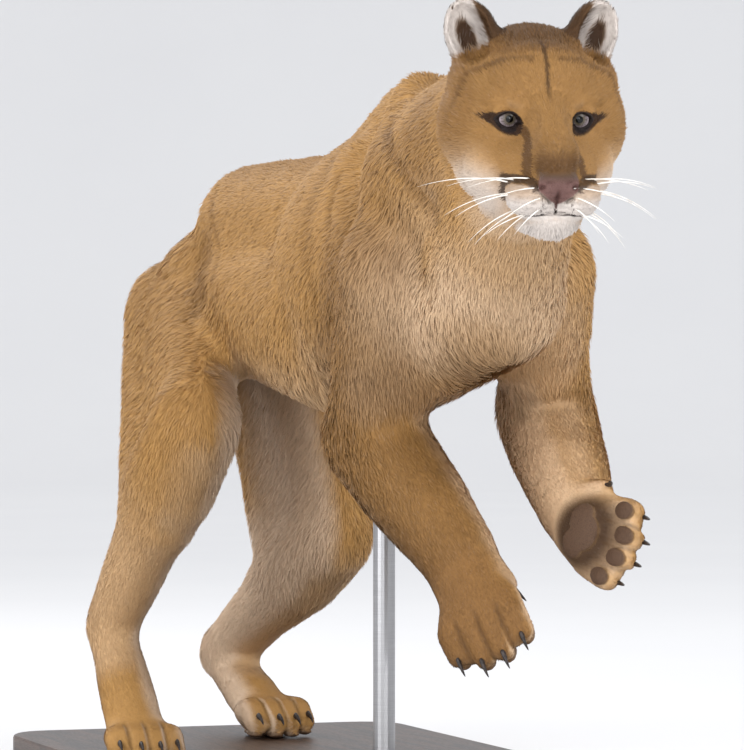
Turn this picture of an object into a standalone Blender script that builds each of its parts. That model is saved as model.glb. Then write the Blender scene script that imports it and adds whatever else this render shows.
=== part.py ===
"""A life-size cougar, bounding, on a plain display stand.

Metres, +Z up. The animal heads along -Y and its left side is +X. The origin is the
centre of the underside of the stand's base.
"""

import math

import bmesh
import bpy
import numpy as np
from mathutils import Matrix, Vector

GAP = 0.0003

# Stand
BASE_LENGTH = 1.04
BASE_WIDTH = 0.46
BASE_HEIGHT = 0.030
BASE_CORNER = 0.05
BASE_EDGE = 0.004
ROD_RADIUS = 0.011
ROD_Y = -0.12
ROD_TOP = 0.425
FLANGE_RADIUS = 0.032
FLANGE_HEIGHT = 0.007

# Girdles and limb bones of an adult male of about 65 kg
SHOULDERS = (0.0, -0.36, 0.530)
HIPS = (0.0, 0.36, 0.510)
SHOULDER_HALF = 0.078
HIP_HALF = 0.064
HUMERUS = 0.228
FOREARM = 0.215
METACARPUS = 0.072
FEMUR = 0.263
TIBIA = 0.272
METATARSUS = 0.142
TOE_LENGTH = 0.046
HAMSTRING_REACH = {1: 0.31, -1: 0.44}  # share of the shin, left and right, where it leaves the calf
FOREPAW_WIDTH = 0.088
HINDPAW_WIDTH = 0.082
CLAW_LENGTH = 0.021
TAIL_LENGTH = 0.76

# Head, placed by the point between its eyes
EYES_MIDDLE = (-0.063, -0.718, 0.650)
HEAD_YAW = 11.0
HEAD_PITCH = -8.0
EYE_RADIUS = 0.0138
EYE_SPREAD = 0.0305
LID = 0.0030

# Pose: each bone's angle in the animal's own plane (0 is forward, 90 straight down,
# 180 back) and its splay away from the middle, in degrees
POSE = {
    "foreleg_right": ((136.5, -9.0), (32.0, -7.0), (45.0, -3.0), (48.0, 2.0)),
    "foreleg_left": ((143.0, 17.0), (26.0, -11.0), (22.0, -4.0), (16.0, 24.0)),
    "hindleg_right": ((30.0, 12.0), (123.5, 11.0), (55.0, -4.0), (3.0, 4.0)),
    "hindleg_left": ((72.0, 3.0), (146.0, -12.0), (24.0, 5.0), (3.0, 6.0)),
}
# The way that each sole faces: the left forepaw is turned up towards its front
SOLE = {
    "foreleg_right": (0.60, 0.64, -0.30),
    "foreleg_left": (-0.60, -0.69, 0.10),
    "hindleg_right": (0.0, 0.0, -1.0),
    "hindleg_left": (0.0, 0.0, -1.0),
}

# Fineness: voxel size, rounds of smoothing and triangles kept
BODY_GRAIN = (0.0058, 26, 4100)
HEAD_GRAIN = (0.0026, 26, 2000)
LIMB_GRAIN = (0.0032, 7, 1500)

SIDES = (("left", 1), ("right", -1))

# Colour and roughness by the word that a node's name holds, the first that fits
FINISHES = (
    ("claw", (0.19, 0.15, 0.12), 0.35),
    ("eye", (0.30, 0.27, 0.25), 0.08),
    ("ear_", (0.16, 0.10, 0.07), 0.85),
    ("tail_tip", (0.11, 0.07, 0.05), 0.85),
    ("stand_base", (0.03, 0.03, 0.03), 0.45),
    ("stand_rod", (0.55, 0.55, 0.56), 0.30),
    ("", (0.43, 0.26, 0.11), 0.80),
)


def vec(*xyz):
    return np.array(xyz, float)


def unit(v):
    v = np.asarray(v, float)
    return v / np.linalg.norm(v)


def bone_direction(side, angle, splay):
    """Unit vector of a bone from its angle in the animal's plane and its splay."""
    a, s = math.radians(angle), math.radians(splay)
    return vec(side * math.sin(s), -math.cos(a) * math.cos(s), -math.sin(a) * math.cos(s))


def limb_joints(root, side, lengths, pose):
    joints = [np.array(root, float)]
    for length, (angle, splay) in zip(lengths, pose):
        joints.append(joints[-1] + length * bone_direction(side, angle, splay))
    return joints


def skeleton():
    """Joint places of the four legs by name: girdle, two mid joints, knuckles, toe tips."""
    legs = {}
    for word, side in SIDES:
        shoulder = vec(*SHOULDERS) + vec(side * SHOULDER_HALF, 0, 0)
        hip = vec(*HIPS) + vec(side * HIP_HALF, 0, 0)
        fore, hind = "foreleg_" + word, "hindleg_" + word
        fore_bones = (HUMERUS, FOREARM, METACARPUS, TOE_LENGTH)
        hind_bones = (FEMUR, TIBIA, METATARSUS, TOE_LENGTH)
        legs[fore] = limb_joints(shoulder, side, fore_bones, POSE[fore])
        legs[hind] = limb_joints(hip, side, hind_bones, POSE[hind])
    return legs


def new_object(name, bm):
    """Object from a mesh in the making, with its faces turned out."""
    bm.normal_update()
    bmesh.ops.recalc_face_normals(bm, faces=bm.faces)
    mesh = bpy.data.meshes.new(name)
    bm.to_mesh(mesh)
    bm.free()
    obj = bpy.data.objects.new(name, mesh)
    bpy.context.scene.collection.objects.link(obj)
    return obj


def apply_modifiers(obj):
    graph = bpy.context.evaluated_depsgraph_get()
    made = bpy.data.meshes.new_from_object(obj.evaluated_get(graph))
    obj.modifiers.clear()
    old, obj.data = obj.data, made
    bpy.data.meshes.remove(old)


class Flesh:
    """Muscles, pads and folds: eggs and tapered rods gathered in one mesh."""

    def __init__(self):
        self.bm = bmesh.new()

    def egg(self, centre, radii, axes=None, rounds=3):
        """Ellipsoid with its radii along the rows of axes."""
        axes = np.eye(3) if axes is None else np.array(axes)
        made = bmesh.ops.create_icosphere(self.bm, subdivisions=rounds, radius=1)
        centre, stretch = np.array(centre, float), np.array(radii, float)
        for vert in made["verts"]:
            vert.co = Vector(centre + (np.array(vert.co) * stretch) @ axes)

    def rod(self, a, b, ra, rb, flat=1.0, axis=(1, 0, 0), rounds=3):
        """Round-ended taper from a to b, flattened along axis to a share of its width."""
        a, b, axis = np.array(a, float), np.array(b, float), unit(axis)
        length = np.linalg.norm(b - a)
        along = (b - a) / length
        lean = np.clip((ra - rb) / length, -0.9, 0.9)
        made = bmesh.ops.create_icosphere(self.bm, subdivisions=rounds, radius=1)
        for vert in made["verts"]:
            way = np.array(vert.co)
            end, radius = (b, rb) if way @ along > lean else (a, ra)
            way -= (way @ axis) * (1 - flat) * axis
            vert.co = Vector(end + radius * way)

    def fused(self, name, voxel, smoothing, faces):
        """One closed skin over all the forms."""
        obj = new_object(name, self.bm)
        fuse = obj.modifiers.new("fuse", "REMESH")
        fuse.mode = "VOXEL"
        fuse.voxel_size = voxel
        soften = obj.modifiers.new("soften", "SMOOTH")
        soften.factor = 0.5
        soften.iterations = smoothing
        apply_modifiers(obj)
        now = sum(len(face.vertices) - 2 for face in obj.data.polygons)
        fewer = obj.modifiers.new("fewer", "DECIMATE")
        fewer.ratio = min(1.0, faces / now)
        fewer.use_collapse_triangulate = True
        apply_modifiers(obj)
        return obj

    def cutter(self, name):
        return new_object(name, self.bm)


def combine(obj, others, operation, solver="EXACT"):
    """Boolean of obj with closed meshes, which are then removed."""
    group = bpy.data.collections.new("operands")
    bpy.context.scene.collection.children.link(group)
    for other in others:
        bpy.context.scene.collection.objects.unlink(other)
        group.objects.link(other)
    step = obj.modifiers.new("shape", "BOOLEAN")
    step.operand_type = "COLLECTION"
    step.collection = group
    step.operation = operation
    step.solver = solver
    apply_modifiers(obj)
    for other in others:
        bpy.data.objects.remove(other)
    bpy.data.collections.remove(group)
    return obj


def copy_of(obj, name):
    twin = obj.copy()
    twin.data = obj.data.copy()
    twin.name = name
    bpy.context.scene.collection.objects.link(twin)
    return twin


def block(planes, reach=0.6, grow=0.0):
    """The convex block behind every plane, each a point on it and the way out of it."""
    bm = bmesh.new()
    middle = np.mean([np.array(point, float) for point, _ in planes], axis=0)
    bmesh.ops.create_cube(bm, size=2 * reach, matrix=Matrix.Translation(Vector(middle)))
    for point, out in planes:
        out = unit(out)
        geometry = bm.verts[:] + bm.edges[:] + bm.faces[:]
        place = Vector(np.array(point, float) + grow * out)
        cut = bmesh.ops.bisect_plane(
            bm, geom=geometry, plane_co=place, plane_no=Vector(out), clear_outer=True
        )
        rim = [item for item in cut["geom_cut"] if isinstance(item, bmesh.types.BMEdge)]
        if rim:
            bmesh.ops.contextual_create(bm, geom=rim)
    return new_object("block", bm)


def keep_largest(obj):
    """Drops loose scraps, and any hollow that fusing has sealed."""
    bm = bmesh.new()
    bm.from_mesh(obj.data)
    left, islands = set(bm.verts), []
    while left:
        island, front = set(), [left.pop()]
        while front:
            vert = front.pop()
            island.add(vert)
            for edge in vert.link_edges:
                other = edge.other_vert(vert)
                if other in left:
                    left.remove(other)
                    front.append(other)
        islands.append(island)
    islands.sort(key=len)
    for island in islands[:-1]:
        bmesh.ops.delete(bm, geom=list(island), context="VERTS")
    bm.to_mesh(obj.data)
    bm.free()
    return obj


def inside(obj, name, planes, reach=1.0):
    """The part of obj inside a block, as a new object."""
    return keep_largest(combine(copy_of(obj, name), [block(planes, reach)], "INTERSECT"))


def outside(obj, planes, reach=1.0):
    """Takes from obj what is inside a block, and a thin gap round it."""
    return combine(obj, [block(planes, reach, GAP)], "DIFFERENCE")


def part_off(obj, name, planes, reach=1.0):
    """Parts a node from obj: what is inside the block becomes the node."""
    node = inside(obj, name, planes, reach)
    outside(obj, planes, reach)
    return node


def head_axes():
    """Rows: the head's left, forward and up."""
    yaw, pitch = math.radians(HEAD_YAW), math.radians(HEAD_PITCH)
    forward = vec(
        -math.sin(yaw) * math.cos(pitch), -math.cos(yaw) * math.cos(pitch), math.sin(pitch)
    )
    left = unit(np.cross(vec(0, 0, 1), forward))
    return np.array([left, forward, np.cross(forward, left)])


def on_head(left, forward, up):
    return vec(*EYES_MIDDLE) + vec(left, forward, up) @ head_axes()


def add_trunk(flesh):
    flesh.egg((0, -0.17, 0.535), (0.108, 0.245, 0.142))
    flesh.rod((0, -0.40, 0.640), (0, -0.22, 0.652), 0.064, 0.061, 0.80)
    flesh.rod((0, -0.22, 0.660), (0, -0.06, 0.610), 0.061, 0.053, 0.78)
    flesh.rod((0, -0.42, 0.505), (0, -0.15, 0.450), 0.074, 0.066)
    flesh.rod((0, -0.05, 0.487), (0, 0.24, 0.512), 0.104, 0.088)
    flesh.rod((0, -0.08, 0.582), (0, 0.29, 0.589), 0.076, 0.072)
    flesh.rod((0, 0.26, 0.588), (0, 0.46, 0.545), 0.072, 0.042)
    for side in (1, -1):
        flesh.egg((side * 0.050, HIPS[1] - 0.005, HIPS[2] + 0.006), (0.044, 0.100, 0.072))


def add_neck(flesh):
    flesh.rod((0, -0.34, 0.606), on_head(0, -0.140, -0.016), 0.097, 0.073)
    flesh.rod((0, -0.42, 0.515), on_head(0, -0.105, -0.050), 0.072, 0.056)


def add_shoulder(flesh, side, joints):
    shoulder, elbow = joints[:2]
    blade = vec(side * 0.035, -0.332, 0.681)
    flesh.rod(blade, shoulder, 0.042, 0.050, 0.8)
    flesh.rod(blade + vec(side * 0.017, 0.117, -0.064), shoulder + vec(0, 0.06, -0.02), 0.046, 0.050, 0.75)
    flesh.rod(shoulder, elbow, 0.055, 0.051, 0.88)
    flesh.rod(shoulder + vec(-side * 0.008, 0.095, 0.015), elbow, 0.050, 0.040, 0.78)


def add_forearm(flesh, side, joints):
    elbow, wrist = joints[1:3]
    along = unit(wrist - elbow)
    point = elbow - 0.026 * along
    flesh.rod(point, elbow, 0.026, 0.038)
    middle = elbow + 0.38 * (wrist - elbow)
    flesh.rod(elbow, middle, 0.057, 0.054, 0.88)
    flesh.rod(middle, wrist, 0.052, 0.041, 0.95)


def add_haunch(flesh, side, joints):
    hip, knee, hock = joints[:3]
    shin = unit(hock - knee)
    seat = vec(side * 0.051, HIPS[1] + 0.082, HIPS[2] - 0.015)
    flesh.rod(hip + vec(-side * 0.008, 0.004, -0.024), knee, 0.082, 0.060, 0.64)
    flesh.rod(seat, knee + HAMSTRING_REACH[side] * (hock - knee), 0.067, 0.050, 0.88)
    flesh.rod(hip + vec(0, 0.03, -0.04), knee + 0.05 * shin, 0.078, 0.056, 0.64)


def add_shank(flesh, side, joints):
    hip, knee, hock, ball = joints[:4]
    shin = unit(hock - knee)
    behind = unit(np.cross(np.cross(shin, knee - hip), shin))
    calf, low = knee + 0.28 * (hock - knee), knee + 0.62 * (hock - knee)
    flesh.rod(knee, calf, 0.056, 0.056, 0.90)
    flesh.rod(calf, low, 0.055, 0.038, 0.90)
    flesh.rod(low, hock, 0.037, 0.031)
    heel = hock - 0.010 * behind + 0.018 * unit(hock - ball)
    flesh.rod(low - 0.012 * behind, heel, 0.022, 0.017)
    flesh.rod(heel, hock, 0.019, 0.029)


def paw_axes(side, joints, sole):
    """Rows of a paw: across it outward, ahead to its toes, and out of its back."""
    ahead = unit(joints[4] - joints[3])
    back = -np.array(sole, float)
    back = unit(back - (back @ ahead) * ahead)
    return np.array([side * np.cross(back, ahead), ahead, back])


def paw_place(side, joints, sole):
    axes, knuckle = paw_axes(side, joints, sole), joints[3]
    return axes, lambda across, ahead, up: knuckle + vec(across, ahead, up) @ axes


def toe_line(width, n):
    """Across, reach and lift of one toe: n is -1.5, -0.5, 0.5 or 1.5 from the inside."""
    reach = {-1.5: 0.78, -0.5: 1.0, 0.5: 0.98, 1.5: 0.72}[n] * TOE_LENGTH
    return n * width * 0.235, reach


def add_paw(flesh, side, joints, width, sole, start_radius):
    """Metapodials, four toes and the pads under them."""
    axes, at = paw_place(side, joints, sole)
    flesh.rod(joints[2], at(0, -0.012, 0.002), start_radius, width * 0.40, 0.78, axes[2])
    flesh.rod(at(-width * 0.2, 0, 0), at(width * 0.2, 0, 0), 0.021, 0.021)
    for n in (-1.5, -0.5, 0.5, 1.5):
        across, reach = toe_line(width, n)
        bend = at(across, reach * 0.50, 0.008)
        flesh.rod(at(across * 0.86, -0.004, 0.003), bend, 0.0165, 0.0155)
        flesh.rod(bend, at(across * 1.05, reach, -0.005), 0.0152, 0.0128)
        flesh.egg(at(across * 1.05, reach - 0.002, -0.0135), (0.0092, 0.0130, 0.0070), axes)
    flesh.egg(at(0, 0.002, -0.0185), (width * 0.24, 0.0150, 0.0100), axes)
    for n in (-1, 1):
        flesh.egg(at(n * width * 0.17, -0.010, -0.0175), (width * 0.13, 0.0130, 0.0095), axes)


def dewclaw_line(side, joints, sole):
    """Root and tip of the dewclaw's toe, the way it points, and the way out of its back."""
    axes = paw_axes(side, joints, sole)
    wrist, knuckle = joints[2:4]
    root = wrist + 0.42 * (knuckle - wrist) - 0.026 * axes[0] - 0.006 * axes[2]
    ahead = unit(0.85 * axes[1] - 0.40 * axes[0] - 0.25 * axes[2])
    back = unit(axes[2] - (axes[2] @ ahead) * ahead)
    return root, root + 0.022 * ahead, ahead, back


def add_dewclaw_toe(flesh, side, joints, sole):
    root, tip = dewclaw_line(side, joints, sole)[:2]
    flesh.rod(root, tip, 0.0140, 0.0105)


def tail_points(count=25):
    """Centre line of the tail: it streams back, sags, and swings to the left."""
    points = [vec(0, HIPS[1] + 0.100, HIPS[2] + 0.035)]
    step = TAIL_LENGTH / (count - 1)
    for n in range(count - 1):
        share = n / (count - 2)
        dip = math.radians(-40 + 66 * share)
        swing = math.radians(6 + 34 * share)
        way = vec(math.cos(dip) * math.sin(swing), math.cos(dip) * math.cos(swing), math.sin(dip))
        points.append(points[-1] + step * way)
    return points


def tail_radius(share):
    swell = math.sin(math.pi * max(share - 0.7, 0) / 0.3)
    return 0.0345 - 0.0120 * min(share / 0.55, 1.0) + 0.0045 * swell


def add_tail(flesh):
    points = tail_points()
    last = len(points) - 1
    for n in range(last):
        flesh.rod(points[n], points[n + 1], tail_radius(n / last), tail_radius((n + 1) / last), rounds=2)
    flesh.rod((0, HIPS[1] + 0.06, HIPS[2] + 0.045), points[1], 0.048, 0.036)


def add_head(flesh):
    axes = head_axes()

    def egg(place, radii):
        flesh.egg(on_head(*place), radii, axes)

    def rod(a, b, ra, rb, flat=1.0, axis=2):
        flesh.rod(on_head(*a), on_head(*b), ra, rb, flat, axes[axis])

    egg((0, -0.074, 0.016), (0.064, 0.080, 0.062))
    egg((0, -0.028, 0.026), (0.050, 0.046, 0.040))
    rod((0, -0.004, 0.009), (0, 0.056, -0.027), 0.0275, 0.0215)
    egg((0, -0.045, -0.066), (0.040, 0.062, 0.034))
    egg((0, 0.048, -0.0830), (0.0225, 0.0225, 0.0175))
    egg((0, 0.0735, -0.0455), (0.0165, 0.0120, 0.0125))
    for _, side in SIDES:
        egg((side * 0.042, -0.060, -0.010), (0.037, 0.053, 0.045))
        egg((side * 0.038, -0.062, 0.024), (0.034, 0.052, 0.040))
        egg((side * 0.032, -0.056, -0.044), (0.033, 0.050, 0.034))
        egg((side * 0.033, -0.020, -0.044), (0.029, 0.044, 0.032))
        egg((side * 0.026, -0.022, -0.062), (0.026, 0.050, 0.026))
        rod((side * 0.033, -0.028, -0.024), (side * 0.018, 0.040, -0.048), 0.0270, 0.0195)
        egg((side * 0.0195, 0.0510, -0.0605), (0.0215, 0.0280, 0.0210))
        rod((side * 0.025, -0.048, -0.072), (side * 0.012, 0.036, -0.081), 0.0240, 0.0170)
        rod((side * 0.016, 0.000, 0.0170), (side * 0.044, -0.018, 0.0175), 0.0105, 0.0105)
        flesh.egg(eye_centre(side), (EYE_RADIUS + LID,) * 3)
        add_ear(flesh, side)


def eye_centre(side):
    return on_head(side * EYE_SPREAD, -0.0080, 0.0)


def eye_axes(side):
    """Rows: along the lids to the outer corner, the gaze, and up. The outer corner is higher."""
    left, forward, up = head_axes()
    gaze = unit(forward + side * 0.24 * left)
    along = unit(side * left + 0.28 * up)
    along = unit(along - (along @ gaze) * gaze)
    rise = np.cross(along, gaze)
    return np.array([along, gaze, rise if rise @ up > 0 else -rise])


def lens_cutter(side):
    """The almond opening between the lids, pushed forward from the eyeball's middle."""
    long_half, high_half, steps = 0.0127, 0.0080, 8
    arc = (long_half**2 + high_half**2) / (2 * high_half)
    sweep = math.asin(long_half / arc)
    turns = [sweep * (2 * n / steps - 1) for n in range(steps + 1)]
    upper = [(arc * math.sin(t), arc * math.cos(t) - arc + high_half) for t in turns]
    lower = [(x, -y) for x, y in reversed(upper[1:-1])]
    bm = bmesh.new()
    axes, centre = eye_axes(side), eye_centre(side)
    ring = [
        bm.verts.new(Vector(centre + vec(x, 0.0045, y) @ axes)) for x, y in upper + lower
    ]
    face = bm.faces.new(ring)
    pushed = bmesh.ops.extrude_face_region(bm, geom=[face])
    moved = [item for item in pushed["geom"] if isinstance(item, bmesh.types.BMVert)]
    bmesh.ops.translate(bm, verts=moved, vec=Vector(0.04 * axes[1]))
    return new_object("lids", bm)


def ball(name, centre, radius, axes, segments=16, rings=10):
    bm = bmesh.new()
    made = bmesh.ops.create_uvsphere(bm, u_segments=segments, v_segments=rings, radius=radius)
    for vert in made["verts"]:
        vert.co = Vector(np.array(centre) + np.array(vert.co) @ axes)
    return new_object(name, bm)


def face_cutters():
    """Eyeballs' room, lid openings, mouth line, nostrils, groove under the nose, ear cups."""
    cutters = []
    for _, side in SIDES:
        cutters.append(ball("room", eye_centre(side), EYE_RADIUS + 0.0006, eye_axes(side)))
        cutters.append(lens_cutter(side))
    mouth = [(0.0440, 0.0060, -0.0700), (0.0370, 0.0330, -0.0760), (0.0250, 0.0570, -0.0790)]
    mouth += [(0.0110, 0.0725, -0.0780), (0.0, 0.0770, -0.0750)]
    mouth += [(-x, y, z) for x, y, z in reversed(mouth[:-1])]
    lips = Flesh()
    for a, b in zip(mouth, mouth[1:]):
        lips.rod(on_head(*a), on_head(*b), 0.0036, 0.0036, 0.5, head_axes()[2], rounds=1)
    lips.rod(on_head(0, 0.0860, -0.0560), on_head(0, 0.0800, -0.0760), 0.0026, 0.0026, rounds=1)
    groove = lips.cutter("lips")
    fuse = groove.modifiers.new("fuse", "REMESH")
    fuse.mode = "VOXEL"
    fuse.voxel_size = 0.0012
    apply_modifiers(groove)
    fewer = groove.modifiers.new("fewer", "DECIMATE")
    fewer.ratio = 0.06
    apply_modifiers(groove)
    cutters.append(groove)
    for _, side in SIDES:
        hole = Flesh()
        hole.egg(on_head(side * 0.0090, 0.0850, -0.0490), (0.0044, 0.0080, 0.0034), head_axes(), 2)
        cutters.append(hole.cutter("nostril"))
        axes, at = ear_place(side)
        cup = Flesh()
        cup.egg(at(0, 0.0240, 0.0155), (0.0187, 0.0283, 0.0190), axes)
        cutters.append(cup.cutter("cup"))
        front = Flesh()
        front.egg(at(0, 0.0370, 0.0415), (0.0400, 0.0430, 0.0345), axes)
        cutters.append(front.cutter("front"))
    return cutters


def ear_axes(side):
    """Rows: across the ear, up it, and the way that its cup faces."""
    left, forward, up = head_axes()
    rise = unit(up + side * 0.40 * left - 0.05 * forward)
    face = unit(forward + side * 0.28 * left)
    face = unit(face - (face @ rise) * rise)
    return np.array([np.cross(rise, face), rise, face])


def ear_place(side):
    axes, root = ear_axes(side), on_head(side * 0.046, -0.068, 0.050)
    return axes, lambda across, rise, face: root + vec(across, rise, face) @ axes


def add_ear(flesh, side):
    axes, at = ear_place(side)
    flesh.egg(at(0, 0.0170, 0), (0.0250, 0.0365, 0.0178), axes)


def ear_planes(side):
    """Block round one ear, cut from the head along its root."""
    axes, at = ear_place(side)
    across, rise, face = axes
    left, _, up = head_axes()
    return [
        (at(0, 0.0110, 0), -unit(up + side * 0.75 * left)),
        (at(0, 0.10, 0), rise),
        (at(side * 0.05, 0, 0), side * across),
        (at(-side * 0.029, 0, 0), -side * across),
        (at(0, 0, 0.05), face),
        (at(0, 0, -0.03), -face),
    ]


def claw(name, root, ahead, up, grow=0.0):
    """A hooked cone: rings along a bend, closing to a point."""
    bm = bmesh.new()
    across = np.cross(ahead, up)
    rings, sides, bend = 4, 6, math.radians(62)
    radius = CLAW_LENGTH / bend
    last = None
    for n in range(rings):
        share = n / rings
        turn = bend * share
        middle = root + radius * math.sin(turn) * ahead - radius * (1 - math.cos(turn)) * up
        if n == 0:
            middle = middle - grow * ahead
        out = math.cos(turn) * up + math.sin(turn) * ahead
        tall, wide = 0.0042 * (1 - share) + 0.0006 + grow, 0.0026 * (1 - share) + 0.0004 + grow
        ring = []
        for k in range(sides):
            angle = 2 * math.pi * k / sides
            place = middle + wide * math.cos(angle) * across + tall * math.sin(angle) * out
            ring.append(bm.verts.new(Vector(place)))
        if last is None:
            bm.faces.new(ring)
        else:
            for k in range(sides):
                bm.faces.new((last[k], last[k - 1], ring[k - 1], ring[k]))
        last = ring
    reach = radius + grow
    end = root + reach * math.sin(bend) * ahead - radius * (1 - math.cos(bend)) * up
    tip = bm.verts.new(Vector(end))
    for k in range(sides):
        bm.faces.new((last[k], last[k - 1], tip))
    return new_object(name, bm)


def set_claws(paw, name, joints):
    """Claws of one paw, each in a pocket at the tip of its toe with a thin gap round it."""
    side = 1 if name.endswith("left") else -1
    fore = name.startswith("fore")
    width = FOREPAW_WIDTH if fore else HINDPAW_WIDTH
    axes, at = paw_place(side, joints, SOLE[name])
    places = []
    for k, n in enumerate((-1.5, -0.5, 0.5, 1.5)):
        across, reach = toe_line(width, n)
        root = at(across * 1.05, reach + 0.0065, 0.0005 if fore else 0.0045)
        places.append((k + 2, root, axes[1], axes[2]))
    if fore:
        tip, ahead, back = dewclaw_line(side, joints, SOLE[name])[1:]
        places.append((1, tip + 0.004 * ahead, ahead, back))
    claws = [claw(f"{name}_claw_{k}", root, ahead, up) for k, root, ahead, up in places]
    pockets = [claw("pocket", root, ahead, up, GAP) for k, root, ahead, up in places]
    combine(paw, pockets, "DIFFERENCE")
    return claws


def stand():
    """Rounded base plate, and a rod on a flange that holds the chest."""
    bm = bmesh.new()
    size = Matrix.Diagonal((BASE_WIDTH, BASE_LENGTH, BASE_HEIGHT, 1))
    bmesh.ops.create_cube(bm, size=1, matrix=Matrix.Translation((0, 0, BASE_HEIGHT / 2)) @ size)
    upright = [e for e in bm.edges if abs(e.verts[0].co.z - e.verts[1].co.z) > BASE_HEIGHT / 2]
    bmesh.ops.bevel(bm, geom=upright, offset=BASE_CORNER, segments=6, affect="EDGES", profile=0.5)
    rim = [
        e
        for e in bm.edges
        if len(e.link_faces) == 2
        and e.calc_face_angle() > 1
        and min(v.co.z for v in e.verts) > BASE_HEIGHT / 2
    ]
    bmesh.ops.bevel(bm, geom=rim, offset=BASE_EDGE, segments=2, affect="EDGES", profile=0.5)
    base = new_object("stand_base", bm)
    return base, turned_rod("stand_rod")


def turned_rod(name, grow=0.0):
    """Rod and flange turned in one profile about the rod's axis."""
    foot = BASE_HEIGHT + GAP
    profile = [
        (0, foot),
        (FLANGE_RADIUS, foot),
        (FLANGE_RADIUS, foot + FLANGE_HEIGHT - 0.002),
        (FLANGE_RADIUS - 0.002, foot + FLANGE_HEIGHT),
        (ROD_RADIUS + grow, foot + FLANGE_HEIGHT),
        (ROD_RADIUS + grow, ROD_TOP + grow),
        (0, ROD_TOP + grow),
    ]
    bm = bmesh.new()
    points = [bm.verts.new((x, ROD_Y, z)) for x, z in profile]
    for a, b in zip(points, points[1:]):
        bm.edges.new((a, b))
    bmesh.ops.spin(
        bm, geom=bm.verts[:] + bm.edges[:], cent=(0, ROD_Y, 0), axis=(0, 0, 1),
        angle=2 * math.pi, steps=20,
    )
    bmesh.ops.remove_doubles(bm, verts=bm.verts, dist=1e-5)
    return new_object(name, bm)


def neck_cut():
    """Planes of the neck: the head's end and the shoulders' end."""
    top = (on_head(0, -0.128, -0.010), unit(head_axes()[1] - 0.30 * vec(0, 0, -1)))
    foot = (vec(0, -0.455, 0.560), unit(vec(0, -0.80, 0.45)))
    return top, foot


def joint_plane(joints, n, shift=0.0):
    """Cut across a bent joint n, facing on down the limb."""
    way = unit(unit(joints[n] - joints[n - 1]) + unit(joints[n + 1] - joints[n]))
    return joints[n] + shift * way, way


def upper_planes(name, joints, side):
    """Block round a shoulder with its upper arm, or round a haunch."""
    end = joint_plane(joints, 1, 0.012)
    bone = unit(joints[1] - joints[0])
    lateral = vec(side, 0, 0)
    ahead = unit(vec(0, -1, 0) + (bone @ vec(0, 1, 0)) * bone)
    fore = name.startswith("fore")
    inset = (0.050, 0.058) if fore else (HIP_HALF, 0.100)
    top, low = joints[0] - inset[0] * lateral, joints[1] - inset[1] * lateral
    way = np.cross(low - top, ahead)
    inner = (low, way if way @ lateral < 0 else -way)
    outer = (vec(side * 0.30, 0, 0.5), lateral)
    if fore:
        front = (vec(0, -0.450, 0.530), vec(0, -1, 0.12))
        back = (vec(0, -0.150, 0.500), vec(0, 1, 0.42))
        over = (vec(side * 0.06, -0.30, 0.590), vec(-side * 0.30, 0, 1))
        return [inner, outer, front, back, over, end]
    span = joints[1] + 0.085 * ahead - (joints[0] + 0.050 * ahead)
    way = np.cross(span, vec(1, 0, 0))
    front = (joints[1] + 0.085 * ahead, way if way @ ahead > 0 else -way)
    back = (vec(0, 0.60, 0.500), vec(0, 1, 0))
    over = (vec(side * 0.05, HIPS[1], 0.520), vec(-side * 0.55, 0, 1))
    return [inner, outer, front, back, over, end]


def stub_planes(joints, half, behind):
    """Block past the elbow or knee, round the short stub of the body's own skin.

    It reaches to half on three sides, and to behind on the side that the limb bends to.
    """
    point, way = joint_plane(joints, 1, 0.012)
    along = unit(joints[2] - joints[1])
    bend = unit(along - (along @ way) * way)
    lateral = np.cross(way, bend)
    planes = [(point, -way), (point + 0.26 * way, way), (point + behind * bend, bend)]
    for out in (lateral, -lateral, -bend):
        planes.append((point + half * out, out))
    return planes


def build_body(legs):
    flesh = Flesh()
    add_trunk(flesh)
    add_neck(flesh)
    add_tail(flesh)
    for name, joints in legs.items():
        side = 1 if name.endswith("left") else -1
        if name.startswith("fore"):
            add_shoulder(flesh, side, joints)
            flesh.rod(joints[1], joints[1] + 0.045 * unit(joints[2] - joints[1]), 0.057, 0.056, 0.88)
        else:
            add_haunch(flesh, side, joints)
            flesh.rod(joints[1], joints[1] + 0.045 * unit(joints[2] - joints[1]), 0.056, 0.056, 0.90)
    return flesh.fused("torso", *BODY_GRAIN)


def build_limb(name, joints):
    side = 1 if name.endswith("left") else -1
    flesh = Flesh()
    sole = SOLE[name]
    if name.startswith("fore"):
        add_shoulder(flesh, side, joints)
        add_forearm(flesh, side, joints)
        add_paw(flesh, side, joints, FOREPAW_WIDTH, sole, 0.0400)
        add_dewclaw_toe(flesh, side, joints, sole)
    else:
        add_haunch(flesh, side, joints)
        add_shank(flesh, side, joints)
        add_paw(flesh, side, joints, HINDPAW_WIDTH, sole, 0.0285)
    return flesh.fused(name + "_skin", *LIMB_GRAIN)


def finish(obj):
    colour, roughness = next((c, r) for word, c, r in FINISHES if word in obj.name)
    material = bpy.data.materials.new(obj.name)
    material.use_nodes = True
    shader = material.node_tree.nodes["Principled BSDF"]
    shader.inputs["Base Color"].default_value = (*colour, 1)
    shader.inputs["Roughness"].default_value = roughness
    if "rod" in obj.name:
        shader.inputs["Metallic"].default_value = 1.0
    obj.data.materials.clear()
    obj.data.materials.append(material)
    obj.data.shade_smooth()
    obj.data.set_sharp_from_angle(angle=math.radians(50))


def side_of(name):
    return 1 if name.endswith("left") else -1


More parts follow.
